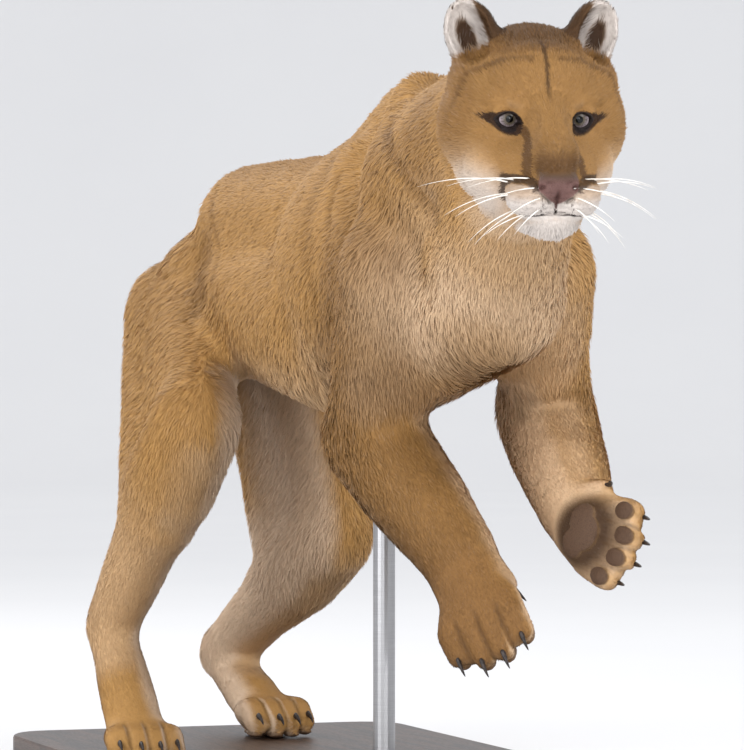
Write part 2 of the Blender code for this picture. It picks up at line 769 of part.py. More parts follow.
def part_body(legs):
    """The body's nodes, parted one after another from one closed skin."""
    body = build_body(legs)
    combine(body, [turned_rod("socket", GAP)], "DIFFERENCE")
    nodes = []
    for name, joints in legs.items():
        outside(body, stub_planes(joints, 0.085, 0.085 if name.startswith("fore") else 0.20))

    tail = tail_points()
    behind = (vec(0, HIPS[1] + 0.155, 0), vec(0, -1, 0))
    for word, share in (("tip", 0.68), ("middle", 0.38), ("base", 0.12)):
        n = round(share * (len(tail) - 1))
        cut = (tail[n], -unit(tail[n + 1] - tail[n]))
        nodes.append(part_off(body, "tail_" + word, [cut, behind], 1.6))

    head_end, foot = neck_cut()
    outside(body, [(head_end[0], -head_end[1]), (vec(0, 0, 0.42), vec(0, 0, -1))])
    nodes.append(part_off(body, "neck", [(foot[0], -foot[1]), (vec(0, 0, 0.42), vec(0, 0, -1))]))

    for name, joints in legs.items():
        last = "_upper" if name.startswith("fore") else "_thigh"
        nodes.append(part_off(body, name + last, upper_planes(name, joints, side_of(name))))
    nodes.append(keep_largest(body))
    return nodes


def part_limb(name, joints):
    """Forearm or shin, paw and claws."""
    skin = build_limb(name, joints)
    elbow, wrist = joint_plane(joints, 1, 0.012), joint_plane(joints, 2, -0.004)
    lower = name + ("_lower" if name.startswith("fore") else "_shin")
    above = [(wrist[0] + GAP * wrist[1], -wrist[1])]
    if name.startswith("hind"):
        above.append((vec(0, 0, BASE_HEIGHT + GAP), vec(0, 0, -1)))
    paw = inside(skin, name + "_paw", above)
    bone = inside(skin, lower, [(elbow[0] + GAP * elbow[1], -elbow[1]), wrist])
    bpy.data.objects.remove(skin)
    return [bone, paw] + set_claws(paw, name, joints)


def part_head():
    """Head, ears and eyes."""
    flesh = Flesh()
    add_neck(flesh)
    add_head(flesh)
    head = flesh.fused("head", *HEAD_GRAIN)
    combine(head, face_cutters(), "DIFFERENCE")
    place, way = neck_cut()[0]
    combine(head, [block([(place + GAP * way, -way)], 1.0)], "INTERSECT")
    nodes = [part_off(head, "ear_" + word, ear_planes(side)) for word, side in SIDES]
    for word, side in SIDES:
        nodes.append(ball("eye_" + word, eye_centre(side), EYE_RADIUS, eye_axes(side)))
    return nodes + [keep_largest(head)]


def main():
    for old in list(bpy.data.objects):
        bpy.data.objects.remove(old)
    legs = skeleton()
    nodes = part_body(legs)
    for name, joints in legs.items():
        nodes += part_limb(name, joints)
    nodes += part_head()
    nodes += stand()
    for node in nodes:
        finish(node)


main()
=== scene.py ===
# Looks of a life-size bounding cougar on its display stand
import math

import bmesh
import bpy
import numpy as np
from mathutils import Matrix, Vector
from mathutils.bvhtree import BVHTree


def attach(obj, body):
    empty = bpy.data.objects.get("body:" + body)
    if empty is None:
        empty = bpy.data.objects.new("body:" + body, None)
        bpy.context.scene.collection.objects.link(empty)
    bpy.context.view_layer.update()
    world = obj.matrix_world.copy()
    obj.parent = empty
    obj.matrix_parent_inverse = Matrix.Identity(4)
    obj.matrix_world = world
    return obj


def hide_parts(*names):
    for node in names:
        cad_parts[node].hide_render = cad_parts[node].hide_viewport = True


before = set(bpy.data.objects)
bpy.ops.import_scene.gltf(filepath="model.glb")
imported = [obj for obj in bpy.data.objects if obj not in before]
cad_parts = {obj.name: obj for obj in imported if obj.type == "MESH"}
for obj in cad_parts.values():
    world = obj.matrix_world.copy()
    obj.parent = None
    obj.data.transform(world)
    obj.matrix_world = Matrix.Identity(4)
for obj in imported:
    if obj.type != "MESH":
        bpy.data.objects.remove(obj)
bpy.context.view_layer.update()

chance = np.random.default_rng(7)
sides = {"left": 1, "right": -1}


# Small vector tools, all on rows of numpy arrays

def vec(*xyz):
    return np.array(xyz, float)


def unit(v):
    v = np.asarray(v, float)
    return v / np.maximum(np.linalg.norm(v, axis=-1, keepdims=True), 1e-9)


def step(low, high, value):
    # 0 before low, 1 past high, smooth between; low may be the larger
    t = np.clip((value - low) / (high - low), 0, 1)
    return t * t * (3 - 2 * t)

def fade(low, high, value):
    # 1 before low, 0 past high
    return 1 - step(low, high, value)


def ridge(away, width):
    # 1 on a line, falling softly to both sides
    return np.exp(-((away / width) ** 2))


def near(points, centre, radii, soft=0.35):
    # 1 inside an ellipsoid, fading out past its surface
    away = np.linalg.norm((points - np.array(centre)) / np.array(radii), axis=1)
    return fade(1 - soft / 2, 1 + soft, away)


def alongLine(points, a, b):
    # share along a-b and distance from it
    a, b = np.array(a, float), np.array(b, float)
    span = b - a
    share = np.clip((points - a) @ span / (span @ span), 0, 1)
    return share, np.linalg.norm(points - a - share[:, None] * span, axis=1)


def path(points, *stops):
    # distance to a line through several places
    return np.min([alongLine(points, a, b)[1] for a, b in zip(stops, stops[1:])], axis=0)


def mirrored(points):
    # the same place on the animal's right flank
    return points * np.where(points[:, :1] > 0, [[-1, 1, 1]], [[1, 1, 1]])


def ripple(points, size, seed=0):
    # smooth noise about 0 from a few crossed sine waves
    rng = np.random.default_rng(seed)
    total = np.zeros(len(points))
    for n in range(7):
        way = unit(rng.normal(size=3)) * rng.uniform(0.7, 1.6)
        total += np.sin(points @ way * 2 * math.pi / size + rng.uniform(0, 6.3))
    return total / 7


# The animal's own measures, the same as its solids have

animal = {
    "shoulders": (0, -0.36, 0.530), "hips": (0, 0.36, 0.510),
    "shoulderHalf": 0.078, "hipHalf": 0.064,
    "foreBones": (0.228, 0.215, 0.072, 0.046), "hindBones": (0.263, 0.272, 0.142, 0.046),
    "foreFoot": 0.088, "hindFoot": 0.082,  # widths
    "bladeTop": (0.035, -0.332, 0.681),
    "tailRoot": (0.100, 0.035), "tailLength": 0.76, "tailDip": (-40, 66), "tailSwing": (6, 34),
}
pose = {  # angle in the animal's plane and splay of each bone, in degrees
    "foreleg_right": ((136.5, -9.0), (32.0, -7.0), (45.0, -3.0), (48.0, 2.0)),
    "foreleg_left": ((143.0, 17.0), (26.0, -11.0), (22.0, -4.0), (16.0, 24.0)),
    "hindleg_right": ((30.0, 12.0), (123.5, 11.0), (55.0, -4.0), (3.0, 4.0)),
    "hindleg_left": ((72.0, 3.0), (146.0, -12.0), (24.0, 5.0), (3.0, 6.0)),
}
soles = {
    "foreleg_right": (0.60, 0.64, -0.30), "foreleg_left": (-0.60, -0.69, 0.10),
    "hindleg_right": (0, 0, -1), "hindleg_left": (0, 0, -1),
}
head = {
    "middle": (-0.063, -0.718, 0.650), "yaw": 11, "pitch": -8,
    "eyeSpread": 0.0305, "eyeBack": 0.008, "eyeRadius": 0.0138, "eyeOut": 0.24, "eyeSlant": 0.28,
    "earRoot": (0.046, -0.068, 0.050), "earOut": 0.40, "earBack": -0.05, "earFace": 0.28,
}


def sideOf(name):
    return 1 if name.endswith("left") else -1


def foreOrHind(name, part):
    return animal[("fore" if name.startswith("fore") else "hind") + part]


def limbJoints(name):
    side = sideOf(name)
    fore = name.startswith("fore")
    joint = vec(*animal["shoulders" if fore else "hips"])
    joint[0] = side * animal["shoulderHalf" if fore else "hipHalf"]
    joints = [joint]
    for length, (angle, splay) in zip(foreOrHind(name, "Bones"), pose[name]):
        a, s = math.radians(angle), math.radians(splay)
        way = vec(side * math.sin(s), -math.cos(a) * math.cos(s), -math.sin(a) * math.cos(s))
        joints.append(joints[-1] + length * way)
    return joints


def tailLine(count=25):
    back, rise = animal["tailRoot"]
    points = [vec(0, animal["hips"][1] + back, animal["hips"][2] + rise)]
    for n in range(count - 1):
        dip, swing = (math.radians(first + more * n / (count - 2))
                      for first, more in (animal["tailDip"], animal["tailSwing"]))
        way = vec(math.cos(dip) * math.sin(swing), math.cos(dip) * math.cos(swing), math.sin(dip))
        points.append(points[-1] + animal["tailLength"] / (count - 1) * way)
    return points


def headRows():
    yaw, pitch = math.radians(head["yaw"]), math.radians(head["pitch"])
    forward = vec(-math.sin(yaw) * math.cos(pitch), -math.cos(yaw) * math.cos(pitch), math.sin(pitch))
    left = unit(np.cross(vec(0, 0, 1), forward))
    return np.array([left, forward, np.cross(forward, left)])


legs = {name: limbJoints(name) for name in pose}
tail = tailLine()
headAxes = headRows()


def onHead(*place):
    return vec(*head["middle"]) + vec(*place) @ headAxes


def inHead(points):
    # left, forward and up from between the eyes
    return (points - vec(*head["middle"])) @ headAxes.T


def faceSpace(points):
    # the same with both halves laid on each other, and its three columns
    at = inHead(points)
    at[:, 0] = abs(at[:, 0])
    return at, *at.T


def eyeAxes(side):
    left, forward, up = headAxes
    gaze = unit(forward + side * head["eyeOut"] * left)
    along = unit(side * left + head["eyeSlant"] * up)
    along = unit(along - (along @ gaze) * gaze)
    rise = np.cross(along, gaze)
    return np.array([along, gaze, rise if rise @ up > 0 else -rise])


def eyeCentre(side):
    return onHead(side * head["eyeSpread"], -head["eyeBack"], 0)


def inEye(points, side):
    # along the lids, forward and up from the eye's middle
    return (points - eyeCentre(side)) @ eyeAxes(side).T


def earAxes(side):
    left, forward, up = headAxes
    rise = unit(up + side * head["earOut"] * left + head["earBack"] * forward)
    face = unit(forward + side * head["earFace"] * left)
    face = unit(face - (face @ rise) * rise)
    return np.array([np.cross(rise, face), rise, face])


def earRoot(side):
    out, forward, up = head["earRoot"]
    return onHead(side * out, forward, up)


def inEar(points, side):
    # across, up and forward from the ear's root
    return (points - earRoot(side)) @ earAxes(side).T


def pawRows(name):
    joints = legs[name]
    ahead = unit(joints[4] - joints[3])
    back = -vec(*soles[name])
    back = unit(back - (back @ ahead) * ahead)
    return np.array([sideOf(name) * np.cross(back, ahead), ahead, back])


def inPaw(points, name):
    # outward, ahead and up from the root of the toes
    return (points - legs[name][3]) @ pawRows(name).T


# Mesh tools

def link(name, mesh):
    obj = bpy.data.objects.new(name, mesh)
    bpy.context.scene.collection.objects.link(obj)
    return obj


def rowsOf(layer, field, width=3, kind=np.float32):
    # the values of one layer of a mesh, a row for each of its items
    flat = np.empty(len(layer) * width, kind)
    layer.foreach_get(field, flat)
    return flat.reshape(-1, width)


def pointsOf(mesh):
    return rowsOf(mesh.vertices, "co").astype(float)


def normalsOf(mesh):
    return rowsOf(mesh.vertex_normals, "vector").astype(float)


def movePoints(mesh, points):
    mesh.vertices.foreach_set("co", points.astype(np.float32).ravel())
    mesh.update()


def meshFrom(bm, name):
    mesh = bpy.data.meshes.new(name)
    bm.to_mesh(mesh)
    bm.free()
    return mesh


def modify(obj, kind, **settings):
    made = obj.modifiers.new(kind.lower(), kind)
    for name, value in settings.items():
        setattr(made, name, value)


def applied(obj):
    graph = bpy.context.evaluated_depsgraph_get()
    made = bpy.data.meshes.new_from_object(obj.evaluated_get(graph))
    obj.modifiers.clear()
    old, obj.data = obj.data, made
    bpy.data.meshes.remove(old)
    return obj


def soften(obj, weights, rounds, levels=20):
    # smooths the surface as much as the weights say, in a few levels
    group = obj.vertex_groups.new(name="soften")
    level = np.round(weights * levels).astype(int)
    for n in range(1, levels + 1):
        group.add(np.nonzero(level == n)[0].tolist(), n / levels, "REPLACE")
    modify(obj, "SMOOTH", vertex_group="soften", factor=0.5, iterations=rounds)
    applied(obj)
    obj.vertex_groups.clear()


def fuse(name, nodes, voxel, rounds):
    # one closed skin over several nodes and the eyes, each node swelled a little so that they run together
    bm = bmesh.new()
    for node in nodes:
        part = bmesh.new()
        part.from_mesh(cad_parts[node].data)
        bmesh.ops.remove_doubles(part, verts=part.verts, dist=1e-6)
        part.normal_update()
        for vert in part.verts:
            vert.co += skinLook["swell"] * vert.normal
        mesh = meshFrom(part, "part")
        bm.from_mesh(mesh)
        bpy.data.meshes.remove(mesh)
    for side in sides.values():
        place = Matrix.Translation(Vector(eyeCentre(side)))
        lidRadius = head["eyeRadius"] + skinLook["lid"]
        bmesh.ops.create_icosphere(bm, subdivisions=4, radius=lidRadius, matrix=place)
    obj = link(name, meshFrom(bm, name))
    modify(obj, "REMESH", mode="VOXEL", voxel_size=voxel)
    modify(obj, "SMOOTH", factor=0.5, iterations=rounds)
    return largest(applied(obj))


def largest(obj):
    # keeps the largest closed surface
    bm = bmesh.new()
    bm.from_mesh(obj.data)
    left, islands = set(bm.verts), []
    while left:
        island, front = [], [left.pop()]
        while front:
            vert = front.pop()
            island.append(vert)
            for edge in vert.link_edges:
                other = edge.other_vert(vert)
                if other in left:
                    left.remove(other)
                    front.append(other)
        islands.append(island)
    islands.sort(key=len)
    for island in islands[:-1]:
        bmesh.ops.delete(bm, geom=island, context="VERTS")
    bm.to_mesh(obj.data)
    bm.free()
    return obj


def refine(obj, weightOf):
    # splits the faces where weightOf says more than a half
    bm = bmesh.new()
    bm.from_mesh(obj.data)
    bm.verts.ensure_lookup_table()
    weights = weightOf(pointsOf(obj.data))
    edges = [e for e in bm.edges if min(weights[vert.index] for vert in e.verts) > 0.5]
    bmesh.ops.subdivide_edges(bm, edges=edges, cuts=1, use_grid_fill=True)
    bm.to_mesh(obj.data)
    bm.free()


# Where things are on the animal

def headShare(points):
    return near(inHead(points), (0, -0.02, -0.01), (0.125, 0.125, 0.125), 0.25)


def faceShare(points):
    face, *_ = faceSpace(points)
    eyes = near(face, (head["eyeSpread"], 0, 0), (0.026, 0.030, 0.021), 0.1)
    return np.maximum(eyes, near(face, (0, 0.060, -0.062), (0.046, 0.045, 0.034), 0.1))


def pawShare(points):
    feet = [(joints[3] - 0.1 * (joints[3] - joints[2]), joints[4]) for joints in legs.values()]
    return fade(0.046, 0.066, np.min([path(points, *foot) for foot in feet], axis=0))


def lowerShare(points):
    # grows from 0 at elbow or knee to 1 at the foot
    share = pawShare(points)
    for joints in legs.values():
        for (a, b), low, high in ((joints[1:3], 0.0, 0.6), (joints[2:4], 0.6, 1.0)):
            along, away = alongLine(points, a, b)
            share = np.maximum(share, (low + (high - low) * along) * fade(0.055, 0.085, away))
    return share


def onEar(at, radii, soft, low, high):
    # 1 on an ear, in its own coordinates; it sets in between two heights over the root
    return near(at, (0, 0.022, 0), radii, soft) * step(low, high, at[:, 1])


def earShare(points):
    ears = [inEar(points, side) for side in sides.values()]
    return np.max([onEar(at, (0.031, 0.040, 0.028), 0.3, 0.0, 0.008) for at in ears], axis=0)


earHollow = {
    "middle": 0.0180, "halfWide": 0.0185, "halfHigh": 0.0290, "floor": -0.0060, "rise": 0.0150, "curve": 2.4,
}


def earBowl(points, side):
    # 0 in the middle of the ear's hollow, 1 at its rim
    at = inEar(points, side)
    up = at[:, 1] - earHollow["middle"]
    return np.hypot(at[:, 0] / earHollow["halfWide"], up / earHollow["halfHigh"]), at


def thighShare(points):
    # 1 on the thighs and the rump, where the coat hangs down instead of along the bone
    thighs = [(legs[name][0] + vec(0, 0.05, 0), legs[name][1]) for name in legs if name.startswith("hind")]
    return fade(0.090, 0.140, np.min([path(points, *thigh) for thigh in thighs], axis=0))


lie = {
    "upperPull": {"fore": 0.9, "hind": 0.25}, "closest": 0.02,
    "thighWay": (0, 0.45, -1.0), "hang": 0.40,
    "fanStart": (0, 0.100, -0.035), "fanRise": 1.15, "fanBack": 0.03, "earFold": 0.35,
}
boneLines = [  # name, start, end, pull: the coat lies from start to end
    ("spine", onHead(0, -0.09, 0.01), vec(0, -0.22, 0.60), 1.0),
    ("spine", vec(0, -0.22, 0.60), vec(0, 0.34, 0.56), 1.0),
]
for name, joints in legs.items():
    boneLines.append((name, joints[0] + vec(0, 0, 0.05), joints[1], lie["upperPull"][name[:4]]))
    boneLines += [(name, a, b, 1.0) for a, b in zip(joints[1:-1], joints[2:])]
boneLines += [("tail", a, b, 1.0) for a, b in zip(tail[:-1:3], tail[3::3])]


def boneOff(points):
    # a row for each bone, the distance to it
    return np.stack([alongLine(points, a, b)[1] for _, a, b, _ in boneLines])


def lieOfCoat(points, normals):
    # the way that the hair points, along the skin
    away = boneOff(points)
    way = np.zeros_like(points)
    for (_, a, b, pull), off in zip(boneLines, away):
        way += (pull / np.maximum(off, lie["closest"]) ** 3)[:, None] * unit(b - a)
    thigh = thighShare(points)[:, None]
    way = unit(unit(way) * (1 - thigh) + vec(*lie["thighWay"]) * thigh)
    trunk = fade(0.08, 0.16, away[:2].min(axis=0) - 0.05)
    way = way + (lie["hang"] * trunk * (1 - abs(normals[:, 2])))[:, None] * vec(0, 0, -1)
    fan = inHead(points) - vec(*lie["fanStart"])
    fan[:, 2] *= lie["fanRise"]
    fan[:, 1] -= lie["fanBack"]
    share = headShare(points)[:, None]
    way = way * (1 - share) + unit(fan) @ headAxes * share
    for side in sides.values():
        at = inEar(points, side)
        across, rise, face = earAxes(side)
        share = onEar(at, (0.031, 0.042, 0.028), 0.3, 0.002, 0.012)[:, None]
        inward = -np.sign(at[:, :1]) * lie["earFold"] * (normals @ face > 0)[:, None] * across
        way = way * (1 - share) + (rise + inward) * share
    way -= (way * normals).sum(axis=1)[:, None] * normals
    return unit(way)


# The skin: one surface over all of the flesh

skinLook = {
    "voxel": 0.0034, "headVoxel": 0.0015, "swell": 0.0004, "lid": 0.0022,
    "bendRounds": 70, "rootRounds": 40, "bodyRounds": 30, "fineRounds": 4, "crookRounds": 220,
}
lids = {  # half width, upper and lower height, sag
    "opening": (0.0122, 0.0060, 0.0080, 0.0032), "liner": (0.0188, 0.0074, 0.0124, 0.0050),
    "fold": (0.0035, 0.0042, 0.0036), "rim": (0.0024, 0.0012, 0.0026),  # wider than the opening by these
    "inward": 0.0036, "crease": 0.0017, "upper": 0.0012, "deep": 0.0030,
}
fleshNodes = [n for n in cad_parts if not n.startswith(("eye_", "stand_")) and "_claw_" not in n]


def almond(at, wide, high, low, sag):
    # below 1 inside a lid shaped outline
    x = (at[:, 0] + lids["inward"]) / wide
    y = at[:, 2] + sag * x * x
    limit = np.where(y > 0, high, low) * np.maximum(1 - x * x, 0)
    return np.where(abs(x) < 1, abs(y) / np.maximum(limit, 1e-5), 9 + abs(x))


def widerLids(name):
    return (*(size + more for size, more in zip(lids["opening"], lids[name])), lids["opening"][3])


def shapeEyes(points):
    # lids wrap the eyeball, and the skin between them goes back behind it
    for side in sides.values():
        at = inEye(points, side)
        upper = at[:, 2] > 0
        reach = np.linalg.norm(at, axis=1)
        inside = fade(0.90, 1.06, almond(at, *lids["opening"]))
        close = fade(0.0185, 0.0270, reach) * step(-0.004, 0.002, at[:, 1])
        fold = almond(at, *widerLids("fold"))
        crease = lids["crease"] * ridge(fold - 1.0, 0.22) * np.where(upper, 1.0, 0.45)
        pull = close * (1 - inside) * fade(0.0158, 0.0245, reach)
        thick = head["eyeRadius"] + skinLook["lid"] + lids["upper"] * upper
        target = at / np.maximum(reach, 1e-6)[:, None] * (thick - crease)[:, None]
        at += (target - at) * pull[:, None]
        deep = unit(at) * (head["eyeRadius"] - lids["deep"])
        at += (deep - at) * (inside * close)[:, None]
        points = at @ eyeAxes(side) + eyeCentre(side)
    return points


def shapeEars(points):
    # a hollow in the front of each ear, with a rim round it
    for side in sides.values():
        bowl, at = earBowl(points, side)
        front = step(-0.002, 0.003, at[:, 2]) * (bowl < 1.3) * step(-0.012, -0.002, at[:, 1])
        deep = earHollow["floor"] + earHollow["rise"] * bowl ** earHollow["curve"]
        at[:, 2] += (np.minimum(deep, at[:, 2]) - at[:, 2]) * fade(0.82, 1.02, bowl) * front
        points = at @ earAxes(side) + earRoot(side)
    return points


nose = {"top": -0.0400, "bend": -0.0545, "tip": -0.0675, "wide": 0.0172, "topIn": 0.002, "edge": 0.0008}


def noseLeather(l, f, u):
    # 1 on the bare nose: wide above, running down to a point over the lip, passing softly into the bridge
    above = nose["wide"] - nose["topIn"] * step(-0.048, -0.038, u)
    below = nose["wide"] * np.clip((u - nose["tip"]) / (nose["bend"] - nose["tip"]), 0, 1) ** 0.8
    wide = np.where(u > nose["bend"], above, below)
    within = fade(-nose["edge"], nose["edge"], l - wide) * step(nose["tip"] - 0.0006, nose["tip"] + 0.0006, u)
    return within * fade(nose["top"] - 0.0040, nose["top"] + 0.0040, u) * step(0.062, 0.066, f)


# places on the face are out from the middle, forward and up from between the eyes
mouth = ((0.0, 0.068, -0.0750), (0.0129, 0.0687, -0.0757), (0.0250, 0.064, -0.0778), (0.0400, 0.024, -0.0752))
faceLines = {  # how high, half width, stops
    "wing": (0.0013, 0.0026, (0.0050, 0.086, -0.0445), (0.0125, 0.084, -0.0450), (0.0165, 0.076, -0.0480)),
    "tear": (-0.0010, 0.0040, (0.0165, 0.006, -0.006), (0.0225, 0.037, -0.0130)),
    "lowerLip": (0.0012, 0.0036, (0.0, 0.060, -0.0805), (0.0150, 0.058, -0.0820)),
    "brow": (0.0034, 0.0065, (0.0110, 0.012, 0.0095), (0.0240, 0.008, 0.0150), (0.0420, -0.006, 0.0150)),
    "cheekBone": (0.0016, 0.010, (0.0440, -0.004, -0.014), (0.0520, -0.020, -0.010)),
    "cheekHollow": (-0.0022, 0.010, (0.0340, 0.012, -0.026), (0.0400, 0.004, -0.036)),
}
faceForms = {  # how high, middle, radii, softness
    "whiskerPad": (0.0020, (0.0185, 0.064, -0.0625), (0.0165, 0.022, 0.0125), 0.6),
    "jowl": (0.0040, (0.070, -0.040, -0.015), (0.028, 0.045, 0.045), 0.9),
    "noseSide": (-0.0038, (0.0185, 0.028, -0.002), (0.007, 0.028, 0.016), 0.8),
}
nostril = ((0.0066, 0.086, -0.0490), (0.0128, 0.082, -0.0520), (0.0170, 0.070, -0.0540))


def shapeFace(points, normals):
    # folds of the muzzle, nose leather, lips and brow, pushed in or out along the skin
    face, l, f, u = faceSpace(points)
    cleft = ridge(l, 0.0014) * step(0.058, 0.064, f) * step(-0.078, -0.074, u) * fade(-0.060, -0.050, u)
    leather = noseLeather(l, f, u)
    edge = ridge(leather - 0.5, 0.25) * (leather > 0.01) * fade(-0.050, -0.044, u)
    furrow = ridge(l, 0.0030) * step(0.010, 0.030, u) * fade(0.055, 0.070, u) * step(-0.055, -0.02, f)
    rows = np.sin((u + 0.0505) / 0.0046 * 2 * math.pi)
    out = 0.0009 * leather - 0.0016 * edge - 0.0024 * cleft - 0.0012 * furrow
    out -= 0.0050 * ridge(path(face, *nostril), 0.0021) * step(0.066, 0.070, f)
    out -= 0.0030 * ridge(path(face, *mouth), 0.0017) * step(0.0, 0.02, f)
    for high, wide, *stops in faceLines.values():
        out += high * ridge(path(face, *stops), wide)
    for high, *form in faceForms.values():
        out += high * near(face, *form)
    out += 0.00030 * rows * near(face, *faceForms["whiskerPad"][1:])
    return points + out[:, None] * normals


foot = {  # in metres from the root of the toes, or as shares of the foot's width
    "gap": 0.238, "gapWide": 0.0022,
    "heel": ((0, 0.003, 0.21, 0.0150), (0.155, -0.006, 0.17, 0.0125), (-0.155, -0.006, 0.17, 0.0125)),
    "toe": 0.247, "toeReach": {-1.5: 0.78, -0.5: 1.0, 0.5: 0.98, 1.5: 0.72},
    "toePad": (0.0086, 0.0125, 0.0095),
}


def toeGaps(points):
    # 1 in the clefts between the toes
    share = np.zeros(len(points))
    for name in legs:
        at = inPaw(points, name)
        within = step(0.006, 0.022, at[:, 1]) * fade(0.070, 0.075, at[:, 1]) * (abs(at[:, 2]) < 0.035)
        for n in (-1, 0, 1):
            line = ridge(at[:, 0] - n * foreOrHind(name, "Foot") * foot["gap"], foot["gapWide"])
            share = np.maximum(share, line * within)
    return share


def padShare(points):
    # 1 on the pads under the feet
    share = np.zeros(len(points))
    for name in legs:
        at, wide = inPaw(points, name), foreOrHind(name, "Foot")
        for x, y, across, along in foot["heel"]:
            share = np.maximum(share, near(at, (x * wide, y, -0.0270), (across * wide, along, 0.0150), 0.12))
        for n, reach in foot["toeReach"].items():
            middle = (n * wide * foot["toe"], reach * animal["foreBones"][3] - 0.003, -0.0185)
            share = np.maximum(share, near(at, middle, foot["toePad"], 0.12))
    return share


def toeRoots(points):
    # 1 on the back of the foot, where the toes begin
    away = [np.linalg.norm((inPaw(points, name) - vec(0, 0, 0.026)) * [0.6, 1, 1], axis=1) for name in legs]
    return fade(0.014, 0.034, np.min(away, axis=0))


# each fold is a groove in the skin with painted crease shade along it; how dark sets that painted shade
shadedFolds = {  # on the flank: half width, how deep, how dark, stops
    "neckBack": (0.013, 0.0025, 0.62, (-0.082, -0.372, 0.664), (-0.100, -0.448, 0.627),
                 (-0.094, -0.489, 0.598), (-0.085, -0.507, 0.582)),
    "bladeFront": (0.008, 0.0022, 0.55, (-0.085, -0.235, 0.623), (-0.094, -0.234, 0.594),
                   (-0.106, -0.267, 0.554)),
    "bladeBack": (0.018, 0.0035, 0.30, (-0.045, -0.165, 0.655), (-0.085, -0.175, 0.590),
                  (-0.102, -0.205, 0.510)),
    "ribOne": (0.005, 0.0012, 0.45, (-0.048, 0.004, 0.639), (-0.073, 0.000, 0.593)),
    "ribTwo": (0.005, 0.0012, 0.40, (-0.055, -0.125, 0.648), (-0.084, -0.115, 0.606)),
    "flank": (0.006, 0.0020, 0.55, (-0.057, 0.270, 0.630), (-0.072, 0.202, 0.560),
              (-0.090, 0.156, 0.485), (-0.106, 0.120, 0.435)),
    "hipHollow": (0.024, 0.0030, 0.45, (-0.070, 0.270, 0.570), (-0.088, 0.226, 0.510)),
}
body = {
    "farFolds": 0.4,  # the left flank is less folded in this pose
    "crook": 0.094, "crookHalf": 0.030,
    "bends": (0.080, 0.062, 0.050), "crookBend": 0.060, "bladeBend": 0.080,  # how far the skin is softened
    "ripple": 0.0008, "pads": 0.0022, "padEdge": 0.0014, "toeGaps": 0.0018,
}


def foldedness(points):
    return np.where(points[:, 0] < 0, 1, body["farFolds"])


def bladeTop(name):
    return vec(sideOf(name), 1, 1) * animal["bladeTop"]


def crook(joints):
    # the inner side of the elbow, where forearm and upper arm press together
    return joints[1] + body["crook"] * unit(unit(joints[0] - joints[1]) + unit(joints[2] - joints[1]))


def crookLine(joints):
    # both ends of the fold there
    across = unit(np.cross(joints[1] - joints[0], joints[2] - joints[1])) * body["crookHalf"]
    return crook(joints) - across, crook(joints) + across


def legLines(name):
    # muscles and tendons of a leg: how high, half width, start, end
    top, bend, end = legs[name][:3]
    lower = end - bend
    out = vec(sideOf(name), 1, 1)
    if name.startswith("fore"):
        behind = -unit(np.cross(np.cross(lower, vec(0, 0, 1)), lower))
        return (
            (0.0040, 0.022, bladeTop(name), top + out * (0.03, 0, 0)),
            (-0.0025, 0.014, bend + 0.2 * lower + 0.040 * behind, end + 0.034 * behind),
            (-0.0035, 0.018, top + out * (0.045, 0.050, -0.01), bend + out * (0.045, 0.01, 0.03)),
            (0.0085, 0.022, *crookLine(legs[name])),
        )
    behind = unit(np.cross(np.cross(lower, bend - top), lower))
    return (
        (-0.0040, 0.012, bend + 0.50 * lower - 0.020 * behind, end - 0.004 * behind),
        (-0.0030, 0.018, top + out * (0.05, 0.055, -0.02), bend + out * (0.045, 0.045, -0.01)),
        (0.0020, 0.018, bend + out * (0.040, -0.02, 0.03), bend + out * (0.040, 0.03, -0.05)),
    )


def shapeBody(points, normals):
    # shoulder blade, upper arm, flank folds, hamstring and tendon lines, pads and clefts of the feet
    out = np.zeros(len(points))
    for wide, deep, _, *stops in shadedFolds.values():
        out -= deep * ridge(path(mirrored(points), *stops), wide) * foldedness(points)
    for name in legs:
        for high, wide, *stops in legLines(name):
            out += high * ridge(path(points, *stops), wide)
    out += body["ripple"] * ripple(points, 0.11, 3) * (1 - headShare(points)) * (1 - pawShare(points))
    pads = padShare(points)
    out += body["pads"] * pads - body["padEdge"] * ridge(pads - 0.25, 0.20) * (pads > 0.01)
    out -= body["toeGaps"] * toeGaps(points)
    return points + out[:, None] * normals


def crookShare(points):
    away = [np.linalg.norm(points - crook(legs[name]), axis=1) for name in legs if name.startswith("fore")]
    return fade(0.046, 0.084, np.min(away, axis=0))


def bendShare(points):
    # 1 round elbows, knees, wrists, hocks and toe roots, where the solids meet at an angle
    share = np.zeros(len(points))
    for name, joints in legs.items():
        bends = list(zip(joints[1:4], body["bends"]))
        if name.startswith("fore"):
            bends += [(crook(joints), body["crookBend"]), (bladeTop(name), body["bladeBend"])]
        for joint, radius in bends:
            away = np.linalg.norm(points - joint, axis=1)
            share = np.maximum(share, fade(0.55 * radius, 1.25 * radius, away))
    return share


def bareSkin(points):
    # 1 on nose leather, eyelid rims and lips, where no hair grows
    face, l, f, u = faceSpace(points)
    cleft = fade(0.0010, 0.0018, l) * step(0.058, 0.064, f)
    lips = fade(0.0012, 0.0021, path(face, *mouth)) * step(0.020, 0.030, f)
    bare = [noseLeather(l, f, u), lips, cleft * step(-0.077, -0.0745, u) * fade(-0.064, -0.060, u)]
    for side in sides.values():
        eye = inEye(points, side)
        front = step(-0.002, 0.002, eye[:, 1]) * (np.linalg.norm(eye, axis=1) < 0.022)
        bare.append(fade(0.98, 1.10, almond(eye, *widerLids("rim"))) * front)
    return np.max(bare, axis=0)


def hairless(points):
    return np.maximum(bareSkin(points), padShare(points))


def coatDepth(points):
    # how far the skin lies inside the outline that the hair reaches
    return coatLook["depth"] * coatLength(points) * (1 - hairless(points))


def fineShare(points):
    return np.maximum(headShare(points), pawShare(points))


